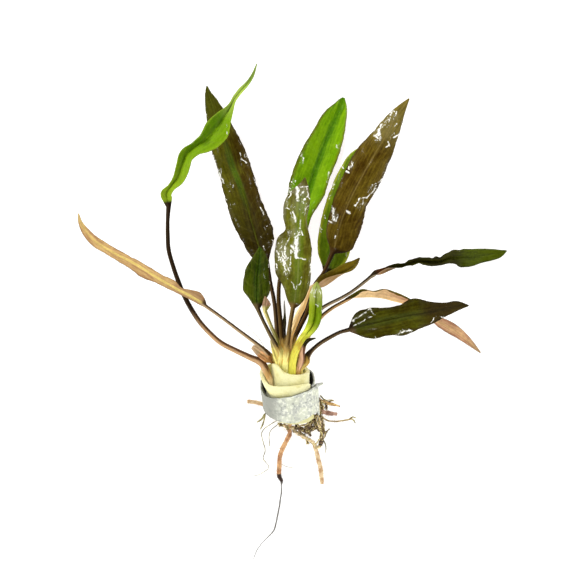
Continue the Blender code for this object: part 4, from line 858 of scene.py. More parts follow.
                 "glareStrokes": [(35.3, 1.8, 26.2, -4.4, 0.45), (37.4, -0.9, 27.4, -6.2, 0.4),
                             (34.9, 1.2, 36.6, -1.4, 0.35), (45.8, -10.4, 49.8, -9, 0.45),
                             (49.8, -9, 53.6, -8.1, 0.35), (36.9, -10.9, 37.1, -11.6, 0.3),
                             (62.3, -4.4, 64.4, -2, 0.4), (64.6, -1.9, 69, -2.3, 0.3),
                             (26.6, -4.2, 25.6, -6.6, 0.35)]},
        "stalk": [(5.9, -22, 19.4, 2.0), (6.6, -19.8, 20.3, 1.5), (8.8, -17.1, 21.5, 1),
                  (12.4, -14, 23, 0.95), (16.9, -11.3, 24.5, 0.9), (21.4, -9, 25.5, 0.85)],
        "blade": [(25.4, -7.9, 26, 1, 0, 1, 0), (27.2, -7.5, 26.3, 3.6, 0.5, 2.2, 0.3),
                  (29.5, -6.8, 26.6, 5.9, 1, 4.2, 0.5), (34.9, -5.4, 27.2, 7.3, 1.5, 6.7, 1),
                  (41.6, -3.8, 27.2, 6, 1.5, 6.9, 1), (48.4, -2.3, 26.4, 5.4, 1, 8.4, 0.8),
                  (55.1, -1.1, 24.8, 7.3, 0.5, 6.9, 0.5), (61.9, 0, 22.4, 4.9, 0.3, 5.3, 0.3),
                  (68.6, 1.4, 19.2, 2.9, 0.3, 3.3, 0.3), (74.5, 2.5, 16, 2.5, 0, 1.8, 0),
                  (79.2, 2.9, 13.5, 0.3, 0, 0.3, 0)],
    },
    "leaf_young": {
        "slot": (outerSlots, 75),
        "shape": {"ruffle": 0.25, "pucker": 0.04, "sheath": (2.1, 1.3)},
        "look": {"slot": "leaf_yellow_green", "top": ("7a8c16", "66800a"), "halfShift": -0.2,
                 "edge": "6c7c14", "rib": "5c6c08", "ribShare": 0.7, "base": "e2e64e",
                 "baseShare": 0.95, "tip": "989c58", "tipShare": 0.6, "tipFrom": 1.6,
                 "sheath": ("cfc84e", "a89a34"), "stalk": ("9a9a2c", "c0c044"),
                 "stalkEndShare": 0.0, "sheathLong": 26.0, "glareHaze": 0.25, "sideTone": -0.2,
                 "paintedGlare": [(10.1, 9.6, 2.6, 2.4, 0.45), (11.4, 3.4, 1.5, 1.6, 0.3)],
                 "glareStrokes": [(8.8, 11.2, 8.4, 8.6, 0.3), (9.3, 7.2, 11, 6.4, 0.4),
                             (12, 10.4, 12.6, 7.4, 0.3), (10.2, 3.6, 11.4, 2.8, 0.35),
                             (13.1, 2.4, 13.2, 0.6, 0.35), (10.6, 10.8, 10.2, 8.6, 0.25)]},
        "stalk": [(0.7, -19.4, 25.5, 1.7), (2.5, -14.9, 27.3, 1.7)],
        "blade": [(4.7, -11.3, 29, 1.6, 0.3, 1.6, 0.3), (7.4, -8.6, 31, 2.2, 1.5, 2, 1.5),
                  (9.5, -5, 33, 2.9, 2.2, 2.6, 2.2), (10.3, 0, 34.5, 2.9, 2.5, 2.9, 2.5),
                  (10.6, 5.4, 35.3, 3.1, 2, 2.8, 2), (10.6, 9.9, 35.3, 2.4, 1.2, 2.5, 1.2),
                  (11, 13.5, 34.8, 0.4, 0, 0.4, 0)],
    },
    "leaf_scale": {
        "slot": (outerSlots, 42),
        "shape": {"ruffle": 0.1, "pucker": 0.0, "sheath": (1.8, 1.1)},
        "look": {"slot": "dead_leaf", "top": ("2a2018", "1c1610"), "below": ("2a2018", "1c1610"),
                 "base": "5a4226", "baseShare": 0.6, "stalk": ("6a4632", "d0a482"), "stalkEndShare": 0.2,
                 "sheath": ("d0b450", "8c6424"), "sheathLong": 11.0},
        "stalk": [(4, -21.6, 22.8, 1.4)],
        "blade": [(4.3, -17.5, 24.6, 1.4, 0.5, 1.3, 0.5), (5.2, -14.4, 26, 1.1, 0.5, 1.2, 0.4),
                  (7.3, -12.5, 27, 0.8, 0.3, 0.9, 0.3), (10.4, -11.7, 27.8, 0.25, 0, 0.25, 0)],
    },
    "leaf_bud": {
        "slot": (innerSlots, 135),
        "shape": {"ruffle": 0.2, "pucker": 0.0},
        "look": {"slot": "leaf_tan_pink", "top": ("9a7862", "74583e"), "below": ("9a6a54", "6c5040"),
                 "base": "9c8858", "baseShare": 0.7, "baseTo": 1.4, "streaked": 0.8,
                 "stalk": ("6a6424", "c8bc7c"), "stalkEndShare": 0.1},
        "stalk": [(-5.6, -18, 20.8, 1), (-7, -12.6, 23.5, 0.9), (-9.8, -5.9, 28.2, 0.8)],
        "blade": [(-12.4, 0.4, 31.8, 0.8, 0, 1, 0), (-12.6, 2.8, 33, 1, 0.5, 2.9, -1.3),
                  (-12.4, 4.8, 33.8, 0.9, 0.5, 2, -0.9), (-12.2, 7, 34.6, 0.3, 0, 0.3, 0)],
    },
    "stalk_dead": {
        "slot": (outerSlots, -121),
        "shape": {"ruffle": 0.2, "pucker": 0.0, "halfThick": 0.5, "neck": 1.0},
        # Its pale fibres and strong streaks are partly fibre colour and partly painted highlight speckles.
        "look": {"slot": "dead_leaf", "top": ("2a2018", "120c08"), "below": ("2a2018", "120c08"),
                 "stalk": ("1c1408", "5e4a34"), "streaked": 0.9, "streak": 0.5,
                 "tip": "8c8a86", "tipShare": 0.9, "tipFrom": 1.5},
        "stalk": [(-3.7, -14.9, 14.2, 1.1)],
        "blade": [(-4, -8.1, 16, 1, 0.1, 1, 0.1), (-3.6, -4.6, 17, 1.1, 0.3, 0.9, 0.3),
                  (-3.4, -1.8, 17.6, 0.6, 0.2, 0.5, 0.2), (-3.5, 1.6, 18.2, 0.5, 0.1, 0.4, 0.1),
                  (-3.7, 5.2, 18.8, 0.2, 0, 0.2, 0)],
    },
    "torn_sheath": {
        "slot": None,
        "node": None,
        "shape": {"ruffle": 0.5, "ruffleLength": 3.0, "ragged": 0.9, "pucker": 0.0, "halfThick": 0.12,
                  "neck": 1.0},
        "look": {"slot": "leaf_tan_pink", "top": ("cc9c6c", "9a6a3e"), "below": ("8a6444", "6e452a"),
                 "edge": "c09060", "edgeShare": 0.5, "base": "9a6432", "baseShare": 0.7,
                 "stalk": ("7a5028", "946a38"), "sheathLong": 0.0, "streaked": 0.9, "streak": 0.3,
                 "tip": "a08c70", "tipShare": 0.8, "tipFrom": 1.45, "stalkEndShare": 0.0},
        "stalk": [(-8.4, -23.6, 20.4, 0.5), (-9.6, -22.4, 21, 0.7)],
        "blade": [(-10.8, -21.2, 21.4, 1.8, 0, 2.6, 0), (-12.4, -20, 21.6, 2.1, 0, 3.2, 0),
                  (-14.4, -18.5, 21.6, 1.8, 0, 3.2, 0), (-16.4, -17, 21.4, 1.5, 0, 2.8, 0),
                  (-18.2, -15.8, 21, 0.6, 0, 1.0, 0)],
    },
    "pale_sheath": {
        "slot": None,
        "node": None,
        "shape": {"ruffle": 0.3, "ruffleLength": 4.0, "ragged": 0.4, "pucker": 0.0, "halfThick": 0.12,
                  "neck": 1.0},
        "look": {"slot": "leaf_tan_pink", "top": ("f0e488", "d8c468"), "below": ("c8b878", "a8904c"),
                 "edge": "c0aa60", "edgeShare": 0.6, "tip": "a89868", "tipShare": 0.8, "tipFrom": 1.6,
                 "stalk": ("c8bc6c", "d8d07c"), "sheathLong": 0.0, "streaked": 0.9,
                 "stalkEndShare": 0.0},
        "stalk": [(-5.6, -27.4, 19, 1.0), (-6, -25.4, 20, 1.3)],
        "blade": [(-6.4, -23.4, 21, 1.4, 0, 1.4, 0), (-7.2, -21, 22, 1.3, 0, 1.5, 0),
                  (-8.2, -18, 22.8, 1.0, 0, 1.3, 0), (-9.2, -14.8, 23.4, 0.6, 0, 0.9, 0),
                  (-9.9, -12.6, 23.6, 0.2, 0, 0.2, 0)],
    },
}


# The foam band, one strip wound outwards: angle round the base, centre radius at the bottom
# and at the top edge, height of the bottom, of the bend and of the top edge along the axis.
foam = {
    "thick": 1.7, "rounded": 0.45, "angleStep": 3.0, "heightStep": 0.7, "lumps": 0.16, "wavy": 0.35,
    "rows": [(163, 7.3, 7.2, -11.5, 0, 12.2), (146, 7.8, 7.7, -11.5, 0, 12.7),
             (128, 8.3, 8.2, -11.5, 0, 12.4), (110, 8.35, 8.35, -11.5, 0, 10.6),
             (90, 8.35, 8.35, -11.5, 0, 9.4), (50, 8.35, 8.35, -11.5, 0, 8.3),
             (0, 8.35, 8.4, -11.5, 0, 7.5), (-50, 8.5, 8.6, -11.5, 0, 7.8),
             (-90, 8.8, 9.2, -11.5, 3, 8), (-130, 9.4, 10.6, -11.5, 4, 8.2),
             (-160, 9.8, 11.6, -11.7, 2.4, 8.2), (-180, 9.7, 12.2, -12, 0.8, 8),
             (-206, 9.3, 12.7, -12.6, -2, 5.8), (-217, 9.4, 12.8, -13, -3, 4.6),
             (-230, 9.9, 12.3, -13.4, -2.6, 4), (-250, 10.35, 11.3, -13.8, -1, 4.1),
             (-270, 10.35, 10.5, -13.8, 0.2, 4.3), (-310, 10.35, 10.4, -13.8, 1.4, 4.3),
             (-332, 10.3, 10.3, -12.8, 1.6, 3.4)]}

# The weight strip: angle, centre radius, height of the bottom and of the top edge.
strip = {
    "thick": 0.9, "rounded": 0.28, "angleStep": 3.0, "heightStep": 0.6, "lumps": 0.14, "wavy": 0.12,
    "rows": [(22, 11, -10.2, 1.9), (0, 11.2, -10.4, 2.2), (-30, 11.8, -8.6, 4.6),
             (-60, 12.05, -7.2, 5), (-90, 12.05, -6.6, 5), (-120, 12.05, -6.8, 4.6),
             (-150, 12.15, -7.8, 3.8), (-180, 12.4, -9.3, 2.6), (-197, 12.5, -10.4, 0.4),
             (-214, 12.4, -11.4, -1.7), (-240, 12.15, -12.3, -1.3), (-270, 12.05, -12.7, -0.1),
             (-300, 12.05, -11.3, 1.2), (-319, 12.1, -10.2, 1.6), (-335, 12.3, -10.1, 1.9),
             (-346, 12.45, -9.6, 2.1), (-349, 12.6, -3, 2.3), (-351, 13.2, 0.8, 2.3),
             (-354, 15.4, 2, 2.5)]}

# A band's noise, in steps: an edge's waves per degree, a wall's lumps per degree and per mm.
waveRate = 0.09
lumpRates = (0.055, 0.35)
smoothFlare = 0.6   # share of a band's flare that comes on smoothly above its bend
leastFlare = 0.1
bevelSteps = 3
bevelFrom = 50.0   # degrees between two faces


def wrapBand(name, band, rows, seed):
    # an open sheet round the base, one column of points for each angle, given its wall,
    # rounded edges and the small lumps of a soft thing
    rows = smoothRows(rows, band["angleStep"], places=1)
    count = round(max(rows[:, 5] - rows[:, 3]) / band["heightStep"])
    mesh = bpy.data.meshes.new(name)
    bm = bmesh.new()
    columns = []
    for angle, low, high, bottom, bend, top in rows:
        top += band["wavy"] * noise.noise((angle * waveRate, seed, 0.0))
        bottom += band["wavy"] * noise.noise((angle * waveRate, seed, 5.0))
        heights = np.linspace(bottom, top, count + 1)
        straight = np.clip((heights - bend) / max(top - bend, leastFlare), 0, 1)
        flare = ease(heights, bend, max(top, bend + leastFlare)) * smoothFlare
        flare += (1 - smoothFlare) * straight
        radii = low + (high - low) * flare
        radii += [band["lumps"] * noise.noise((angle * lumpRates[0], h * lumpRates[1], seed))
                  for h in heights]
        columns.append([bm.verts.new(onBase(r, angle, h) * metres) for r, h in zip(radii, heights)])
    for here, there in zip(columns, columns[1:]):
        for k in range(count):
            bm.faces.new((here[k], there[k], there[k + 1], here[k + 1]))
    bm.to_mesh(mesh)
    bm.free()
    mesh.shade_smooth()
    sheet = addObject(name + "Sheet", mesh)
    wall = sheet.modifiers.new("Wall", "SOLIDIFY")
    wall.thickness = band["thick"] * metres
    wall.offset = 0
    wall.use_even_offset = True
    edge = sheet.modifiers.new("Edge", "BEVEL")
    edge.width = band["rounded"] * metres
    edge.segments = bevelSteps
    edge.limit_method = "ANGLE"
    edge.angle_limit = math.radians(bevelFrom)
    return keepShape(name, sheet)


def markInside(piece):
    # stores 1 where a face of the band looks at the base's axis, and 0 where it looks outward; the strip's
    # finish paints those inner faces near black as shade
    mesh = piece.data
    shadedInside = []
    for vertex in mesh.vertices:
        away = np.array(vertex.co) / metres - stripTop
        outward = away - alongAxis * (away @ alongAxis)
        shadedInside.append(float(outward @ np.array(vertex.normal) < 0))
    mesh.attributes.new("shadedInside", "FLOAT", "POINT").data.foreach_set("value", shadedInside)


def roughen(piece, height, size, seed):
    # moves each point along its normal by fine noise; height and size in mm
    mesh = piece.data
    for vertex, normal in zip(mesh.vertices, [v.normal.copy() for v in mesh.vertices]):
        at = vertex.co / (size * metres)
        vertex.co += normal * (height * metres * noise.fractal(at + Vector((seed, 0, 0)), 1.0, 2.0, 3))
    mesh.shade_smooth()


def foamFinish():
    # Soft polyether foam, cut from a block: dull, cream, open cells, yellowed in patches by wet and age.
    # Its hollows and the middles of its cells are painted darker as shade. Real cells are 0.4 mm; drawn at
    # 0.8 mm to show.
    finish, add = newFinish("SoftFoam")
    spot = add("ShaderNodeTexCoord").outputs["Object"]
    stain = add("ShaderNodeTexNoise", {"Vector": spot, "Scale": 160.0, "Detail": 4.0})
    stain = add("ShaderNodeMapRange", [stain, 0.42, 0.68, 0.0, 1.0], **smoothly)
    cells = add("ShaderNodeTexVoronoi", {"Vector": spot, "Scale": 1250.0})
    pore = add("ShaderNodeMapRange", [cells, 0.0, 0.35, 1.0, 0.0])
    hollowShade = add("ShaderNodeNewGeometry").outputs["Pointiness"]
    hollowShade = add("ShaderNodeMapRange", [hollowShade, 0.40, 0.50, 1.0, 0.0])
    poreShade = add("ShaderNodeMath", [pore, 0.3], "MULTIPLY")
    # the hollows and the cell pores are painted darker as shade
    tone = paint(add, "dcd8a6", [(stain, "ccc588"), (hollowShade, "a89e54"), (poreShade, "aba35c")])
    bump = add("ShaderNodeBump", {"Height": cells, "Strength": 0.7, "Distance": 0.3 * metres})
    shader = add("ShaderNodeBsdfPrincipled", {
        "Base Color": tone, "Roughness": 0.95, "Normal": bump, "Specular IOR Level": 0.2,
        "Sheen Weight": 0.2, "Sheen Roughness": 0.5})
    add("ShaderNodeOutputMaterial", {"Surface": shader})
    return finish


def stripFinish():
    # Soft cast weight metal, rolled and handled: a pale grey skin of oxide, dull and faintly
    # dimpled, with pale yellowish bloom on its middle and right, smoother and bluer at the left. Its edges
    # carry a painted highlight, and its inner faces painted near-black shade.
    finish, add = newFinish("SoftGreyMetal")
    spot = add("ShaderNodeTexCoord").outputs["Object"]
    sideways = add("ShaderNodeSeparateXYZ", [spot]).outputs["X"]
    bloomed = add("ShaderNodeMapRange", [sideways, -0.010, -0.002, 0.0, 1.0], **smoothly)
    cloud = add("ShaderNodeTexNoise", {"Vector": spot, "Scale": 300.0, "Detail": 3.0, "Roughness": 0.6})
    dimples = add("ShaderNodeTexNoise", {"Vector": spot, "Scale": 760.0, "Detail": 2.0, "Roughness": 0.55,
                  "Distortion": 0.5})
    bloom = add("ShaderNodeMapRange", [cloud, 0.44, 0.60, 0.0, 1.0], **smoothly)
    bloom = add("ShaderNodeMath", [bloom, bloomed], "MULTIPLY")
    dark = add("ShaderNodeMapRange", [dimples, 0.46, 0.34, 0.0, 0.7], **smoothly)
    bright = add("ShaderNodeMapRange", [dimples, 0.52, 0.64, 0.0, 0.8], **smoothly)
    bright = add("ShaderNodeMath", [bright, bloomed], "MULTIPLY")
    edgeHighlight = add("ShaderNodeMapRange", [add("ShaderNodeNewGeometry").outputs["Pointiness"],
               0.53, 0.60, 0.0, 0.6])
    shadedInside = add("ShaderNodeAttribute", attribute_name="shadedInside").outputs["Fac"]
    # the lighter edges are a painted highlight, and the near-black inner faces are painted shade
    tone = paint(add, "87887e", [
        (bloomed, "adafa5"), (dark, "7a7e78"), (bloom, "bfc2af"), (bright, "dcddcc"), (edgeHighlight, "c2c7c4"),
        (shadedInside, "0d0c09")])
    rough = add("ShaderNodeMapRange", [dimples, 0.35, 0.65, 0.6, 0.42])
    bump = add("ShaderNodeBump", {"Height": dimples, "Strength": 0.5, "Distance": 0.25 * metres})
    shader = add("ShaderNodeBsdfPrincipled", {
        "Base Color": tone, "Metallic": 0.25, "Roughness": rough, "Normal": bump})
    add("ShaderNodeOutputMaterial", {"Surface": shader})
    return finish


# The crown: its top and length on the base's axis, its turned profile (radius, depth), and the
# height of its knobs and of the scars round it.
crown = {"top": -0.5, "length": 13.5, "radius": 6.9, "around": 72, "deep": 60, "inset": 0.15,
         "profile": [(0.02, 0), (0.6, 0.015), (0.86, 0.04), (1, 0.16), (1, 0.45), (0.98, 0.75),
                     (0.8, 0.93), (0.4, 0.99), (0.02, 1)],
         "knobs": 0.45, "knobsAcross": 2.2, "knobsAlong": 0.45, "scars": 0.18, "scarsAlong": 1.7}


def makeCrown():
    # the rhizome: a turned plug with the rings of old leaf bases and knobs where roots start
    profile = smoothRows(crown["profile"], 1 / crown["deep"], places=2)
    mesh = bpy.data.meshes.new("crown")
    bm = bmesh.new()
    rings = []
    for r, depth in profile:
        height = crown["top"] - crown["length"] * depth
        ring = []
        for k in range(crown["around"]):
            angle = 360 * k / crown["around"]
            turn = math.radians(angle)
            across = crown["knobsAcross"]
            at = (math.cos(turn) * r * across, math.sin(turn) * r * across, height * crown["knobsAlong"])
            bulge = crown["knobs"] * noise.fractal(at, 1.0, 2.0, 4) * min(1, 4 * r)
            bulge -= crown["scars"] * abs(math.sin(height * crown["scarsAlong"] + math.sin(turn))) * r
            radius = r * crown["radius"] - crown["inset"] + bulge
            ring.append(bm.verts.new(onBase(radius, angle, height) * metres))
        rings.append(ring)
    for here, there in zip(rings, rings[1:]):
        for k in range(crown["around"]):
            after = (k + 1) % crown["around"]
            bm.faces.new((here[k], here[after], there[after], there[k]))
    bm.faces.new(rings[0])
    bm.faces.new(rings[-1])
    bmesh.ops.recalc_face_normals(bm, faces=bm.faces)
    bm.to_mesh(mesh)
    bm.free()
    mesh.shade_smooth()
    return addObject("crownLook", mesh)


def crownFinish():
    # Corky rhizome: rough, fibrous brown skin with paler broken spots.
    finish, add = newFinish("CorkyRhizome")
    spot = add("ShaderNodeTexCoord").outputs["Object"]
    cloud = add("ShaderNodeTexNoise", {"Vector": spot, "Scale": 420.0, "Detail": 6.0, "Roughness": 0.65})
    grain = add("ShaderNodeTexNoise", {"Vector": spot, "Scale": 1600.0, "Detail": 3.0})
    broken = add("ShaderNodeMapRange", [cloud, 0.40, 0.62, 0.0, 1.0])
    dirt = add("ShaderNodeMapRange", [grain, 0.5, 0.7, 0.0, 0.6])
    tone = paint(add, "6a4a2c", [(broken, "b08a58"), (dirt, "3a2616")])
    bump = add("ShaderNodeBump", {"Height": cloud, "Strength": 0.9, "Distance": 0.5 * metres})
    shader = add("ShaderNodeBsdfPrincipled", {
        "Base Color": tone, "Roughness": 0.8, "Normal": bump, "Specular IOR Level": 0.3})
    add("ShaderNodeOutputMaterial", {"Surface": shader})
    return finish


# A root hair one unit long: its start, middle and end, and how its size and its turn vary.
rootHair = {"bend": ((0.0, 0.0, -0.05), (0.05, 0.0, 0.6), (0.45, 0.15, 1.0)), "sides": 4,
            "sizes": (0.35, 1.2), "turns": ((-0.5, -0.5, 0.0), (0.5, 0.5, 6.28))}


def buildRootTree():
    # Roots from lines of points: a knobbly tube along each, with fine hairs over its skin.
    tree, given, add = newTree("Root", {
        "Step": 0.5, "Wander": 0.15, "Knobs": 0.2, "Sides": 10, "Hairs Per Square Mm": 0.0,
        "Hair Length": 1.6, "Hair Radius": 0.05, "Seed": 0, "Material": None})
    line = add("GeometryNodeMeshToCurve", {"Mesh": given["Geometry"]})
    line = add("GeometryNodeResampleCurve", {"Curve": line, "Length": given["Step"]}, mode="LENGTH")
    line = add("GeometryNodeStoreNamedAttribute", {
        "Geometry": line, "Name": "alongMm",
        "Value": add("GeometryNodeSplineParameter").outputs["Length"]},
        data_type="FLOAT", domain="POINT")
    shake = add("ShaderNodeTexNoise", {"Scale": 0.35, "Detail": 2.0}).outputs["Color"]
    shake = add("ShaderNodeVectorMath", [shake, (0.5, 0.5, 0.5)], "SUBTRACT")
    reach = add("ShaderNodeMath", [given["Wander"], 4.0], "MULTIPLY")
    shake = add("ShaderNodeVectorMath", [shake, reach], "SCALE")
    line = add("GeometryNodeSetPosition", {"Geometry": line, "Offset": shake})
    knob = add("ShaderNodeTexNoise", {"Scale": 0.9, "Detail": 2.0})
    knob = add("ShaderNodeMapRange", [knob, 0.3, 0.7, -1.0, 1.0])
    knob = add("ShaderNodeMath", [knob, given["Knobs"]], "MULTIPLY")
    thick = add("GeometryNodeInputNamedAttribute", {"Name": "radiusMm"}, data_type="FLOAT")
    knob = add("ShaderNodeMath", [add("ShaderNodeMath", [knob, 1.0], "ADD"), thick], "MULTIPLY")
    ring = add("GeometryNodeCurvePrimitiveCircle", {"Resolution": given["Sides"], "Radius": 1.0})
    tube = add("GeometryNodeCurveToMesh", {
        "Curve": line, "Profile Curve": ring, "Scale": knob, "Fill Caps": True})
    spots = add("GeometryNodeDistributePointsOnFaces", {
        "Mesh": tube, "Density": given["Hairs Per Square Mm"], "Seed": given["Seed"]})
    start, middle, end = rootHair["bend"]
    hair = add("GeometryNodeCurveQuadraticBezier", {
        "Resolution": 5, "Start": start, "Middle": middle, "End": end})
    hair = add("GeometryNodeTransform", {"Geometry": hair, "Scale": add("ShaderNodeCombineXYZ", [
        given["Hair Length"], given["Hair Length"], given["Hair Length"]])})
    hair = add("GeometryNodeCurveToMesh", {
        "Curve": hair, "Fill Caps": True,
        "Profile Curve": add("GeometryNodeCurvePrimitiveCircle", {
            "Resolution": rootHair["sides"], "Radius": given["Hair Radius"]})})
    least, most = rootHair["sizes"]
    size = add("FunctionNodeRandomValue", {"Min": least, "Max": most, "Seed": given["Seed"]},
               data_type="FLOAT")
    least, most = rootHair["turns"]
    spin = add("FunctionNodeRandomValue", {"Min": least, "Max": most, "Seed": given["Seed"]},
               data_type="FLOAT_VECTOR")
    spin = add("FunctionNodeRotateRotation", {
        "Rotation": spots.outputs["Rotation"], "Rotate By": spin}, rotation_space="LOCAL")
    hairs = add("GeometryNodeInstanceOnPoints", {
        "Points": spots.outputs["Points"], "Instance": hair, "Rotation": spin, "Scale": size})
    hairs = add("GeometryNodeRealizeInstances", {"Geometry": hairs})
    hairs = add("GeometryNodeStoreNamedAttribute", {"Geometry": hairs, "Name": "hair", "Value": 1.0},
                data_type="FLOAT", domain="POINT")
    both = add("GeometryNodeJoinGeometry")
    for shape in (tube, hairs):
        tree.links.new(shape.outputs[0], both.inputs[0])
    endTree(add, given, both)
    return tree


# Roots: points (x, y, z, radius), and where one turns into a grey hair, in mm from its start.
never = 999.0
rootStep = 1.0
rootLook = {"light": "c4a070", "dark": "8a6238", "hair": "b8a884", "greyFrom": never, "capAt": never,
            "hairs": 0.25, "hairLong": 1.4, "knobs": 0.14, "wander": 0.12}
roots = {
    "root_long": {
        "rows": [(0.2, -47.6, 8.3, 0.9), (-1, -50.2, 7.7, 1), (-1.6, -52.2, 7, 1.05),
                 (-1.1, -54.2, 6.2, 1.05), (-2.5, -57.6, 4.8, 1.05), (-4.3, -61.2, 3.5, 1.05),
                 (-5.6, -64.8, 2.2, 1.05), (-5.9, -69.3, 1.3, 1.05), (-6.1, -72.5, 1.2, 1),
                 (-5.8, -74.4, 1.1, 0.95), (-4.9, -75.8, 0.9, 0.7), (-5, -77.3, 0.5, 0.34),
                 (-5, -81, 0.35, 0.32), (-5.7, -86, 0.35, 0.32), (-6.8, -92.3, 0.35, 0.32),
                 (-8.6, -98.6, 0.35, 0.28), (-12.4, -102.6, 0.35, 0.17), (-16, -107.1, 0.35, 0.17),
                 (-17.6, -111.4, 0.35, 0.12)],
        "look": {"light": "c89c6c", "dark": "986844", "greyFrom": 31.0, "capAt": 27.4,
                 "hairs": 0.1}},
    "root_pale": {
        "rows": [(2.4, -47.4, 7.4, 0.5), (2.9, -53.1, 5.9, 0.45), (6.5, -56.9, 4.6, 0.5),
                 (9.7, -59.6, 3.4, 0.7), (10.7, -62.5, 2.7, 0.95), (11.5, -66, 1.8, 1),
                 (12.6, -70.2, 1.2, 1), (13, -74, 1.05, 1), (13.3, -77.4, 1, 0.8)],
        "look": {"light": "d4bc94", "dark": "ac8860", "hairs": 0.3}},
    "root_left": {
        "rows": [(-3.8, -47.2, 7, 0.9), (-8, -46, 4.4, 1), (-11.8, -42.2, 3.3, 1),
                 (-15.6, -40.8, 3.5, 1), (-20.2, -40.2, 4.2, 0.9)],
        "look": {"light": "d6bc94", "dark": "b29068"}},
    "root_tan_right": {
        "rows": [(11.9, -39.4, 8.8, 0.6), (13.5, -40.2, 8.2, 0.85), (16.9, -41.2, 7, 0.85),
                 (21.4, -42.4, 5.6, 0.35)],
        "look": {"light": "d2b074", "dark": "96703a", "knobs": 0.25}},
    "root_brown_right": {
        "rows": [(12.6, -44.2, 8.7, 0.8), (13.9, -44.9, 8.4, 1.05), (16.8, -45.5, 7.5, 1.05),
                 (20, -45.9, 6.4, 0.65)],
        "look": {"light": "ae8a76", "dark": "7a5848", "knobs": 0.25}},
    "root_thin_right": {
        "rows": [(12.6, -46.4, 8.6, 0.35), (14.7, -48.3, 7.6, 0.35), (18.8, -49.2, 6, 0.35),
                 (22.7, -48.8, 4.4, 0.36), (27, -48, 3, 0.4)],
        "look": {"light": "b09c68", "dark": "7c6238", "hairs": 0.6}}}


def rootFinish(name, look):
    # Living root: waxy tan skin, darker in patches and at its old end, with pale hairs.
    finish, add = newFinish("RootSkin_" + name)
    along = add("ShaderNodeAttribute", attribute_name="alongMm").outputs["Fac"]
    isHair = add("ShaderNodeAttribute", attribute_name="hair").outputs["Fac"]
    spot = add("ShaderNodeTexCoord").outputs["Object"]
    cloud = add("ShaderNodeTexNoise", {"Vector": spot, "Scale": 380.0, "Detail": 4.0})
    rings = add("ShaderNodeCombineXYZ", [add("ShaderNodeMath", [along, 2.2], "MULTIPLY")])
    rings = add("ShaderNodeTexNoise", {"Vector": rings, "Scale": 1.0, "Detail": 2.0})
    patch = add("ShaderNodeMapRange", [cloud, 0.40, 0.62, 0.0, 1.0], **smoothly)
    ring = add("ShaderNodeMapRange", [rings, 0.5, 0.7, 0.0, 0.5])
    cap = add("ShaderNodeMapRange", [along, look["capAt"], look["capAt"] + 0.6, 0.0, 1.0])
    grey = add("ShaderNodeMapRange", [along, look["greyFrom"], look["greyFrom"] + 1.5, 0.0, 1.0])
    tone = paint(add, look["light"], [
        (patch, look["dark"]), (ring, look["dark"]), (cap, "2c1c12"), (grey, "66635e"),
        (isHair, look["hair"])])
    height = add("ShaderNodeMath", [cloud, rings], "ADD")
    bump = add("ShaderNodeBump", {"Height": height, "Strength": 0.6, "Distance": 0.2 * metres})
    shader = add("ShaderNodeBsdfPrincipled", {
        "Base Color": tone, "Roughness": 0.5, "Normal": bump, "Specular IOR Level": 0.2,
        "Coat Weight": 0.1, "Coat IOR": 1.33})
    add("ShaderNodeOutputMaterial", {"Surface": shader})
    return finish


def growRoot(name, root, tree, seed):
    look = {**rootLook, **root["look"]}
    rows = smoothRows(root["rows"], rootStep)
    source = lineMesh(name, [rows], radiusMm=rows[:, 3])
    piece = growPiece(tree, name, source, {
        "Material": rootFinish(name, look), "Hairs Per Square Mm": look["hairs"],
        "Hair Length": look["hairLong"], "Knobs": look["knobs"], "Wander": look["wander"],
        "Seed": seed})
    dress(piece, name)


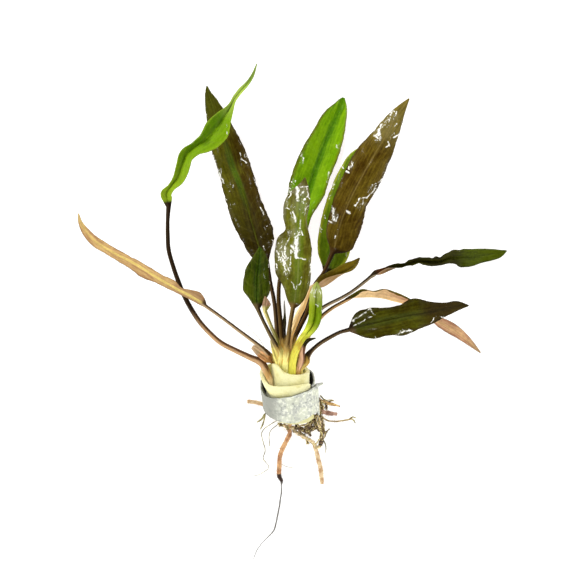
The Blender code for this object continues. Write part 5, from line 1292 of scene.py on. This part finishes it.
# The tangle of fine roots and dirt. Its main strands are given: a tone from 0, dark dirt, to
# 1, pale root, then points (x, y, z, radius). Finer ones wander round them.
tangles = {
    "root_mat": {
        "strands": 150, "spread": 1.2, "seed": 4,
        "paths": [
            (0.2, [(10.6, -41.4, 9.3, 0.5), (11.7, -45.9, 9.7, 0.7), (12.8, -50.4, 9.2, 0.8),
                    (13.3, -54, 8.2, 0.7), (13, -57.2, 7, 0.8), (12.7, -59, 6, 0.6)]),
            (0.3, [(12.4, -40.6, 8.6, 0.4), (12.3, -44.4, 9, 0.55), (13.1, -48.2, 8.4, 0.6),
                   (14, -52, 7.8, 0.5), (14.7, -55.4, 7.2, 0.3)]),
            (0.22, [(9.9, -46, 9.2, 0.5), (9.7, -48.6, 9.2, 1.0), (11, -51.6, 8.8, 0.9),
                    (12.6, -53.4, 8, 0.7)]),
            (0.68, [(11.6, -39, 9.6, 0.3), (10.8, -42.7, 10, 0.4), (11.3, -45.6, 10.4, 0.42),
                    (12.2, -49, 10.6, 0.42), (12.6, -52.6, 9.6, 0.4), (13.3, -55.8, 8.4, 0.3),
                    (11.6, -57.8, 7, 0.28), (10.6, -59.4, 6, 0.3)]),
            (0.78, [(12.2, -40.4, 9.8, 0.22), (11.9, -44.4, 10.2, 0.25), (10.8, -47.6, 10.2, 0.3),
                    (11.4, -50.4, 10.2, 0.25), (12.9, -53.8, 9.2, 0.22), (14.1, -56.4, 8, 0.2)]),
            (0.02, [(12.9, -57.4, 6.8, 0.7), (12.9, -58.8, 6.4, 1.15), (12.5, -60, 5.8, 0.7)]),
            (0.97, [(12.4, -60.3, 5.3, 0.6), (11.4, -60.9, 4.9, 0.75), (10.7, -60.4, 4.9, 0.5)]),
            (0.3, [(16.4, -52.7, 6.8, 0.16), (15.2, -54, 7.4, 0.3), (14.6, -56, 7.4, 0.36),
                   (13.5, -57.4, 7, 0.3)]),
            (0.45, [(11.4, -38.6, 9.2, 0.35), (13.2, -40.4, 8.8, 0.5), (14.8, -41.2, 8, 0.45)]),
            (0.35, [(12.6, -40.8, 9, 0.45), (13.6, -42.8, 8.6, 0.6), (13.2, -44.6, 8.6, 0.5)]),
            (0.2, [(14.8, -40.8, 8, 0.3), (16.6, -40.4, 7.4, 0.38), (17.7, -39.7, 7, 0.3)]),
            (0.15, [(14.8, -41.2, 7.7, 0.3), (15.2, -43, 7.2, 0.45), (15, -43.9, 7, 0.2)]),
            (0.05, [(12.9, -43.8, 8.6, 0.5), (13.6, -44.6, 8.5, 0.82), (14.5, -45, 8, 0.5)])]},
    "root_mat_base": {
        "strands": 230, "spread": 1.3, "seed": 9,
        "paths": [
            (0.22, [(2.4, -51.9, 8.4, 0.8), (5, -52.8, 8.8, 1.1), (7.2, -54, 8.4, 1.0),
                    (8.2, -55.6, 7.6, 0.6)]),
            (0.3, [(4.4, -53.6, 8.4, 0.7), (6.6, -51.8, 9.2, 1.2), (8.8, -49, 9.6, 1.1),
                    (10.2, -46.2, 9.6, 0.6)]),
            (0.2, [(6.2, -54.6, 8, 0.6), (8, -52.6, 8.8, 1.1), (10.4, -51.6, 8.8, 0.9)]),
            (0.5, [(3.4, -51.2, 9.6, 0.25), (6.6, -50.4, 10.4, 0.4), (9.4, -47.4, 10.6, 0.35)]),
            (0.45, [(4, -53, 9.4, 0.3), (7.4, -53.6, 9.4, 0.35), (10.8, -52.4, 9.2, 0.25)]),
            (0.05, [(1.7, -50.6, 8.2, 0.5), (1.8, -51.8, 8.2, 0.85), (1.6, -52.8, 7.6, 0.5)]),
            (0.9, [(0.2, -51.4, 7.6, 0.5), (0.5, -52.6, 7.2, 0.6), (1, -53.8, 6.6, 0.35)]),
            (0.96, [(-4.3, -50.6, 7.4, 0.6), (-2.6, -51.6, 7.4, 0.85), (-0.6, -52, 7.6, 0.7),
                    (1, -51.8, 7.6, 0.6)]),
            (0.55, [(-2.2, -51, 8, 0.3), (-2, -51.9, 8.1, 0.4), (-2.4, -52.6, 7.8, 0.3)]),
            (0.06, [(-5.6, -50.1, 7, 0.5), (-5.3, -50.6, 6.8, 0.78), (-5, -51.1, 6.5, 0.5)]),
            (0.97, [(1.5, -54, 8, 0.35), (4.7, -56, 7.8, 0.6), (7.4, -57.5, 7.2, 0.65),
                    (9.7, -59, 6.3, 0.6), (10.8, -60.8, 4.8, 0.45)]),
            (0.84, [(2, -53.6, 7.2, 0.25), (5, -55.4, 6.4, 0.4), (7.6, -57.4, 5.8, 0.45),
                    (9.6, -58.4, 5.2, 0.3)]),
            (0.15, [(6.3, -57.4, 6.4, 0.2), (6.6, -58.2, 6.1, 0.3), (7, -59, 5.8, 0.2)])]}}


def tangleFinish():
    # Dead and living fine roots matted with dark silt: near black in the mat, with brown,
    # straw and olive strands over it.
    finish, add = newFinish("RootTangle")
    tone = add("ShaderNodeAttribute", attribute_name="tone").outputs["Fac"]
    spot = add("ShaderNodeTexCoord").outputs["Object"]
    cloud = add("ShaderNodeTexNoise", {"Vector": spot, "Scale": 1500.0, "Detail": 3.0})
    tone = add("ShaderNodeMath", [tone, add("ShaderNodeMapRange", [cloud, 0.36, 0.64, -0.22, 0.5])],
               "ADD")
    ramp = add("ShaderNodeValToRGB", {"Fac": tone})
    stops = ramp.color_ramp.elements
    stops[0].color = colour("1c1209")
    stops[1].color = colour("dcc49c")
    for at, code in ((0.12, "33241a"), (0.25, "4a3018"), (0.5, "6a5236"), (0.7, "7e7029"),
                     (0.86, "c8bc78")):
        stops.new(at).color = colour(code)
    bump = add("ShaderNodeBump", {"Height": cloud, "Strength": 0.8, "Distance": 0.3 * metres})
    shader = add("ShaderNodeBsdfPrincipled", {
        "Base Color": ramp, "Roughness": 0.65, "Normal": bump, "Specular IOR Level": 0.4})
    add("ShaderNodeOutputMaterial", {"Surface": shader})
    return finish


# A finer strand: how long, thick and pale it may be, and how it wanders round a main one.
strand = {"step": 0.4, "points": (4, 11), "radii": (0.07, 0.1, 0.14, 0.2), "taper": 0.6,
          "tones": (0.05, 0.2, 0.4, 0.5, 0.6, 0.75, 0.85, 0.95), "stride": 2,
          "turn": (-0.5, 0.6), "stray": (0.7, 1.1), "shift": (-0.5, 0.5), "flatness": 0.8}


def growTangle(name, tangle, tree, finish):
    dice = random.Random(tangle["seed"])
    strands, radii, tones = [], [], []
    for tone, points in tangle["paths"]:
        rows = smoothRows(points, strand["step"])
        strands.append(rows)
        radii.append(rows[:, 3])
        tones.append(np.full(len(rows), tone))
    mainStrands = list(strands)
    for number in range(tangle["strands"]):
        core = dice.choice(mainStrands)
        start = dice.randrange(len(core))
        length = dice.randint(*strand["points"])
        radius = dice.choice(strand["radii"])
        tone = dice.choice(strand["tones"])
        around = dice.uniform(0, 2 * math.pi)
        forward = dice.choice((-1, 1))
        points = []
        for step in range(length):
            row = core[int(np.clip(start + forward * step * strand["stride"], 0, len(core) - 1))]
            around += dice.uniform(*strand["turn"])
            out = row[3] * dice.uniform(*strand["stray"]) + tangle["spread"] * dice.random() * step / length
            points.append(row[:3] + np.array([math.cos(around) * out, dice.uniform(*strand["shift"]),
                                              math.sin(around) * out * strand["flatness"]]))
        points = smoothRows(points, strand["step"])
        strands.append(points)
        radii.append(radius * (1 - strand["taper"] * np.linspace(0, 1, len(points))))
        tones.append(np.full(len(points), tone))
    source = lineMesh(name, strands, radiusMm=np.concatenate(radii), tone=np.concatenate(tones))
    piece = growPiece(tree, name, source, {
        "Material": finish, "Knobs": 0.4, "Wander": 0.12, "Step": 0.35, "Sides": 8,
        "Seed": tangle["seed"]})
    dress(piece, name)


# Fine single roots and hairs that only show in the looks: points and radii.
fineRoots = {
    "step": 0.8,
    "rows": [
        [(-6.5, -43.4, 6.4, 0.3), (-11.6, -45.2, 5.2, 0.4), (-12.8, -46.6, 4.6, 0.55),
         (-13.6, -48, 3.8, 0.5), (-15, -49, 3, 0.45), (-16, -49.6, 2.4, 0.25)],
        [(-12.2, -46.4, 4.4, 0.3), (-13.2, -50, 3, 0.38), (-14.4, -52.8, 1.6, 0.3)],
        [(-2.2, -47.2, 6, 0.2), (-6, -50, 4, 0.18), (-10.1, -54, 2, 0.17), (-10.3, -60.3, 0.6, 0.15)],
        [(-3, -47, 5.5, 0.2), (-9, -50, 3, 0.2), (-13.7, -54, 1.2, 0.18), (-12.4, -63, 0.4, 0.2),
         (-13.3, -65.7, 0.3, 0.18), (-10.6, -69.8, 0.3, 0.14), (-13.7, -72.5, 0.3, 0.13),
         (-19.1, -74.3, 0.3, 0.06)],
        [(-5.9, -68, 1.2, 0.12), (-2, -69.8, 0.5, 0.1), (2, -69.8, 0.3, 0.06)],
        [(12.5, -37.5, 9, 0.3), (14.5, -39.4, 8.4, 0.3), (17.8, -39.6, 7.4, 0.2)],
        [(26, -48, 3.2, 0.35), (27.6, -48.6, 3, 0.35), (28.2, -50, 2.8, 0.25)],
        [(25.6, -48.2, 3.2, 0.3), (27.4, -47.2, 3, 0.3), (28.6, -47.8, 2.8, 0.2)],
        [(13.6, -57, 5.8, 0.3), (15, -60.5, 4, 0.22), (14.6, -64, 2.4, 0.12)],
        [(-21.6, -3.4, 25.8, 0.05), (-18.6, -7.6, 25.4, 0.07), (-15.4, -11.4, 24.6, 0.08),
         (-12.6, -15.8, 23.2, 0.09)]],
    "look": {"light": "a49a66", "dark": "665e38", "hairs": 0.0}}


print("growing leaves")
leafTree = buildLeafTree()
for number, (leafName, leaf) in enumerate(leaves.items()):
    growLeaf(leafName, leaf, leafTree, number)

print("wrapping the base")
foamPiece = wrapBand("foam_band", foam, foam["rows"], seed=1.0)
roughen(foamPiece, height=0.10, size=0.9, seed=3.0)
foamPiece.data.materials.append(foamFinish())
dress(foamPiece, "foam_band")
stripRows = [(angle, r, r, low, low, high) for angle, r, low, high in strip["rows"]]
stripPiece = wrapBand("weight_strip", strip, stripRows, seed=7.0)
markInside(stripPiece)
roughen(stripPiece, height=0.05, size=1.3, seed=8.0)
stripPiece.data.materials.append(stripFinish())
dress(stripPiece, "weight_strip")
crownPiece = makeCrown()
crownPiece.data.materials.append(crownFinish())
dress(crownPiece, "crown")

print("growing roots")
rootTree = buildRootTree()
for number, (rootName, root) in enumerate(roots.items()):
    growRoot(rootName, root, rootTree, number)
tangleSkin = tangleFinish()
for tangleName, tangle in tangles.items():
    growTangle(tangleName, tangle, rootTree, tangleSkin)
fineStrands = [smoothRows(rows, fineRoots["step"]) for rows in fineRoots["rows"]]
fineRadii = np.concatenate([rows[:, 3] for rows in fineStrands])
fineSkin = rootFinish("fine", {**rootLook, **fineRoots["look"]})
finePiece = growPiece(rootTree, "fine_roots", lineMesh("fine_roots", fineStrands, radiusMm=fineRadii), {
    "Material": fineSkin, "Wander": 0.12, "Sides": 6})
dress(finePiece, None)


# The stage: a plain pale light table, soft white light from the sides, dim straight above so
# that flat glossy leaves keep their colour, and one small soft box that makes glints. The sky
# passes from one to the other between two heights of its direction. Sizes are in metres.
table = {"light": 0.7, "wide": 6.0, "drop": 0.0002}
sky = {"sides": 2.5, "overhead": 0.08, "from": 0.5, "to": 0.82}
softBox = {"size": (0.2, 0.15), "power": 9.0, "place": (-0.35, 0.55, 1.3), "aim": (0, 0.02, 0)}


def setStage():
    bpy.ops.mesh.primitive_plane_add(size=table["wide"], location=(0, 0, -table["drop"]))
    floor = bpy.context.object
    floor.name = "Floor"
    finish, add = newFinish("PaleFloor")
    shader = add("ShaderNodeBsdfPrincipled", {
        "Base Color": colour("bcbcba"), "Roughness": 0.9, "Specular IOR Level": 0.0,
        "Emission Color": (1, 1, 1, 1), "Emission Strength": table["light"]})
    add("ShaderNodeOutputMaterial", {"Surface": shader})
    floor.data.materials.append(finish)
    world = bpy.data.worlds.new("Studio")
    world.use_nodes = True
    world.node_tree.nodes.clear()
    add = partial(addNode, world.node_tree)
    upward = add("ShaderNodeSeparateXYZ", [add("ShaderNodeTexCoord").outputs["Generated"]]).outputs["Z"]
    strength = add("ShaderNodeMapRange", [upward, sky["from"], sky["to"], sky["sides"], sky["overhead"]],
                   **smoothly)
    light = add("ShaderNodeBackground", {"Color": (1, 1, 1, 1), "Strength": strength})
    add("ShaderNodeOutputWorld", {"Surface": light})
    scene.world = world
    box = bpy.data.lights.new("SoftBox", "AREA")
    box.shape = "RECTANGLE"
    box.size, box.size_y = softBox["size"]
    box.energy = softBox["power"]
    lamp = addObject("SoftBox", box)
    lamp.location = softBox["place"]
    lamp.rotation_euler = (Vector(softBox["aim"]) - lamp.location).to_track_quat("-Z", "Y").to_euler()
    scene.view_settings.view_transform = "Standard"
    scene.view_settings.look = "None"


def setCamera():
    # straight down, its picture 259.2 mm wide at the surface
    lens = 1200.0
    sensor = 36.0
    pictureWidth = 0.2592
    middleX, middleY = -0.002, 0.0108
    eye = bpy.data.cameras.new("Camera")
    eye.lens = lens
    eye.sensor_width = sensor
    eye.clip_end = 20.0
    camera = addObject("Camera", eye)
    camera.location = (middleX, middleY, pictureWidth * lens / sensor)
    scene.camera = camera


print("setting the stage")
setStage()
setCamera()
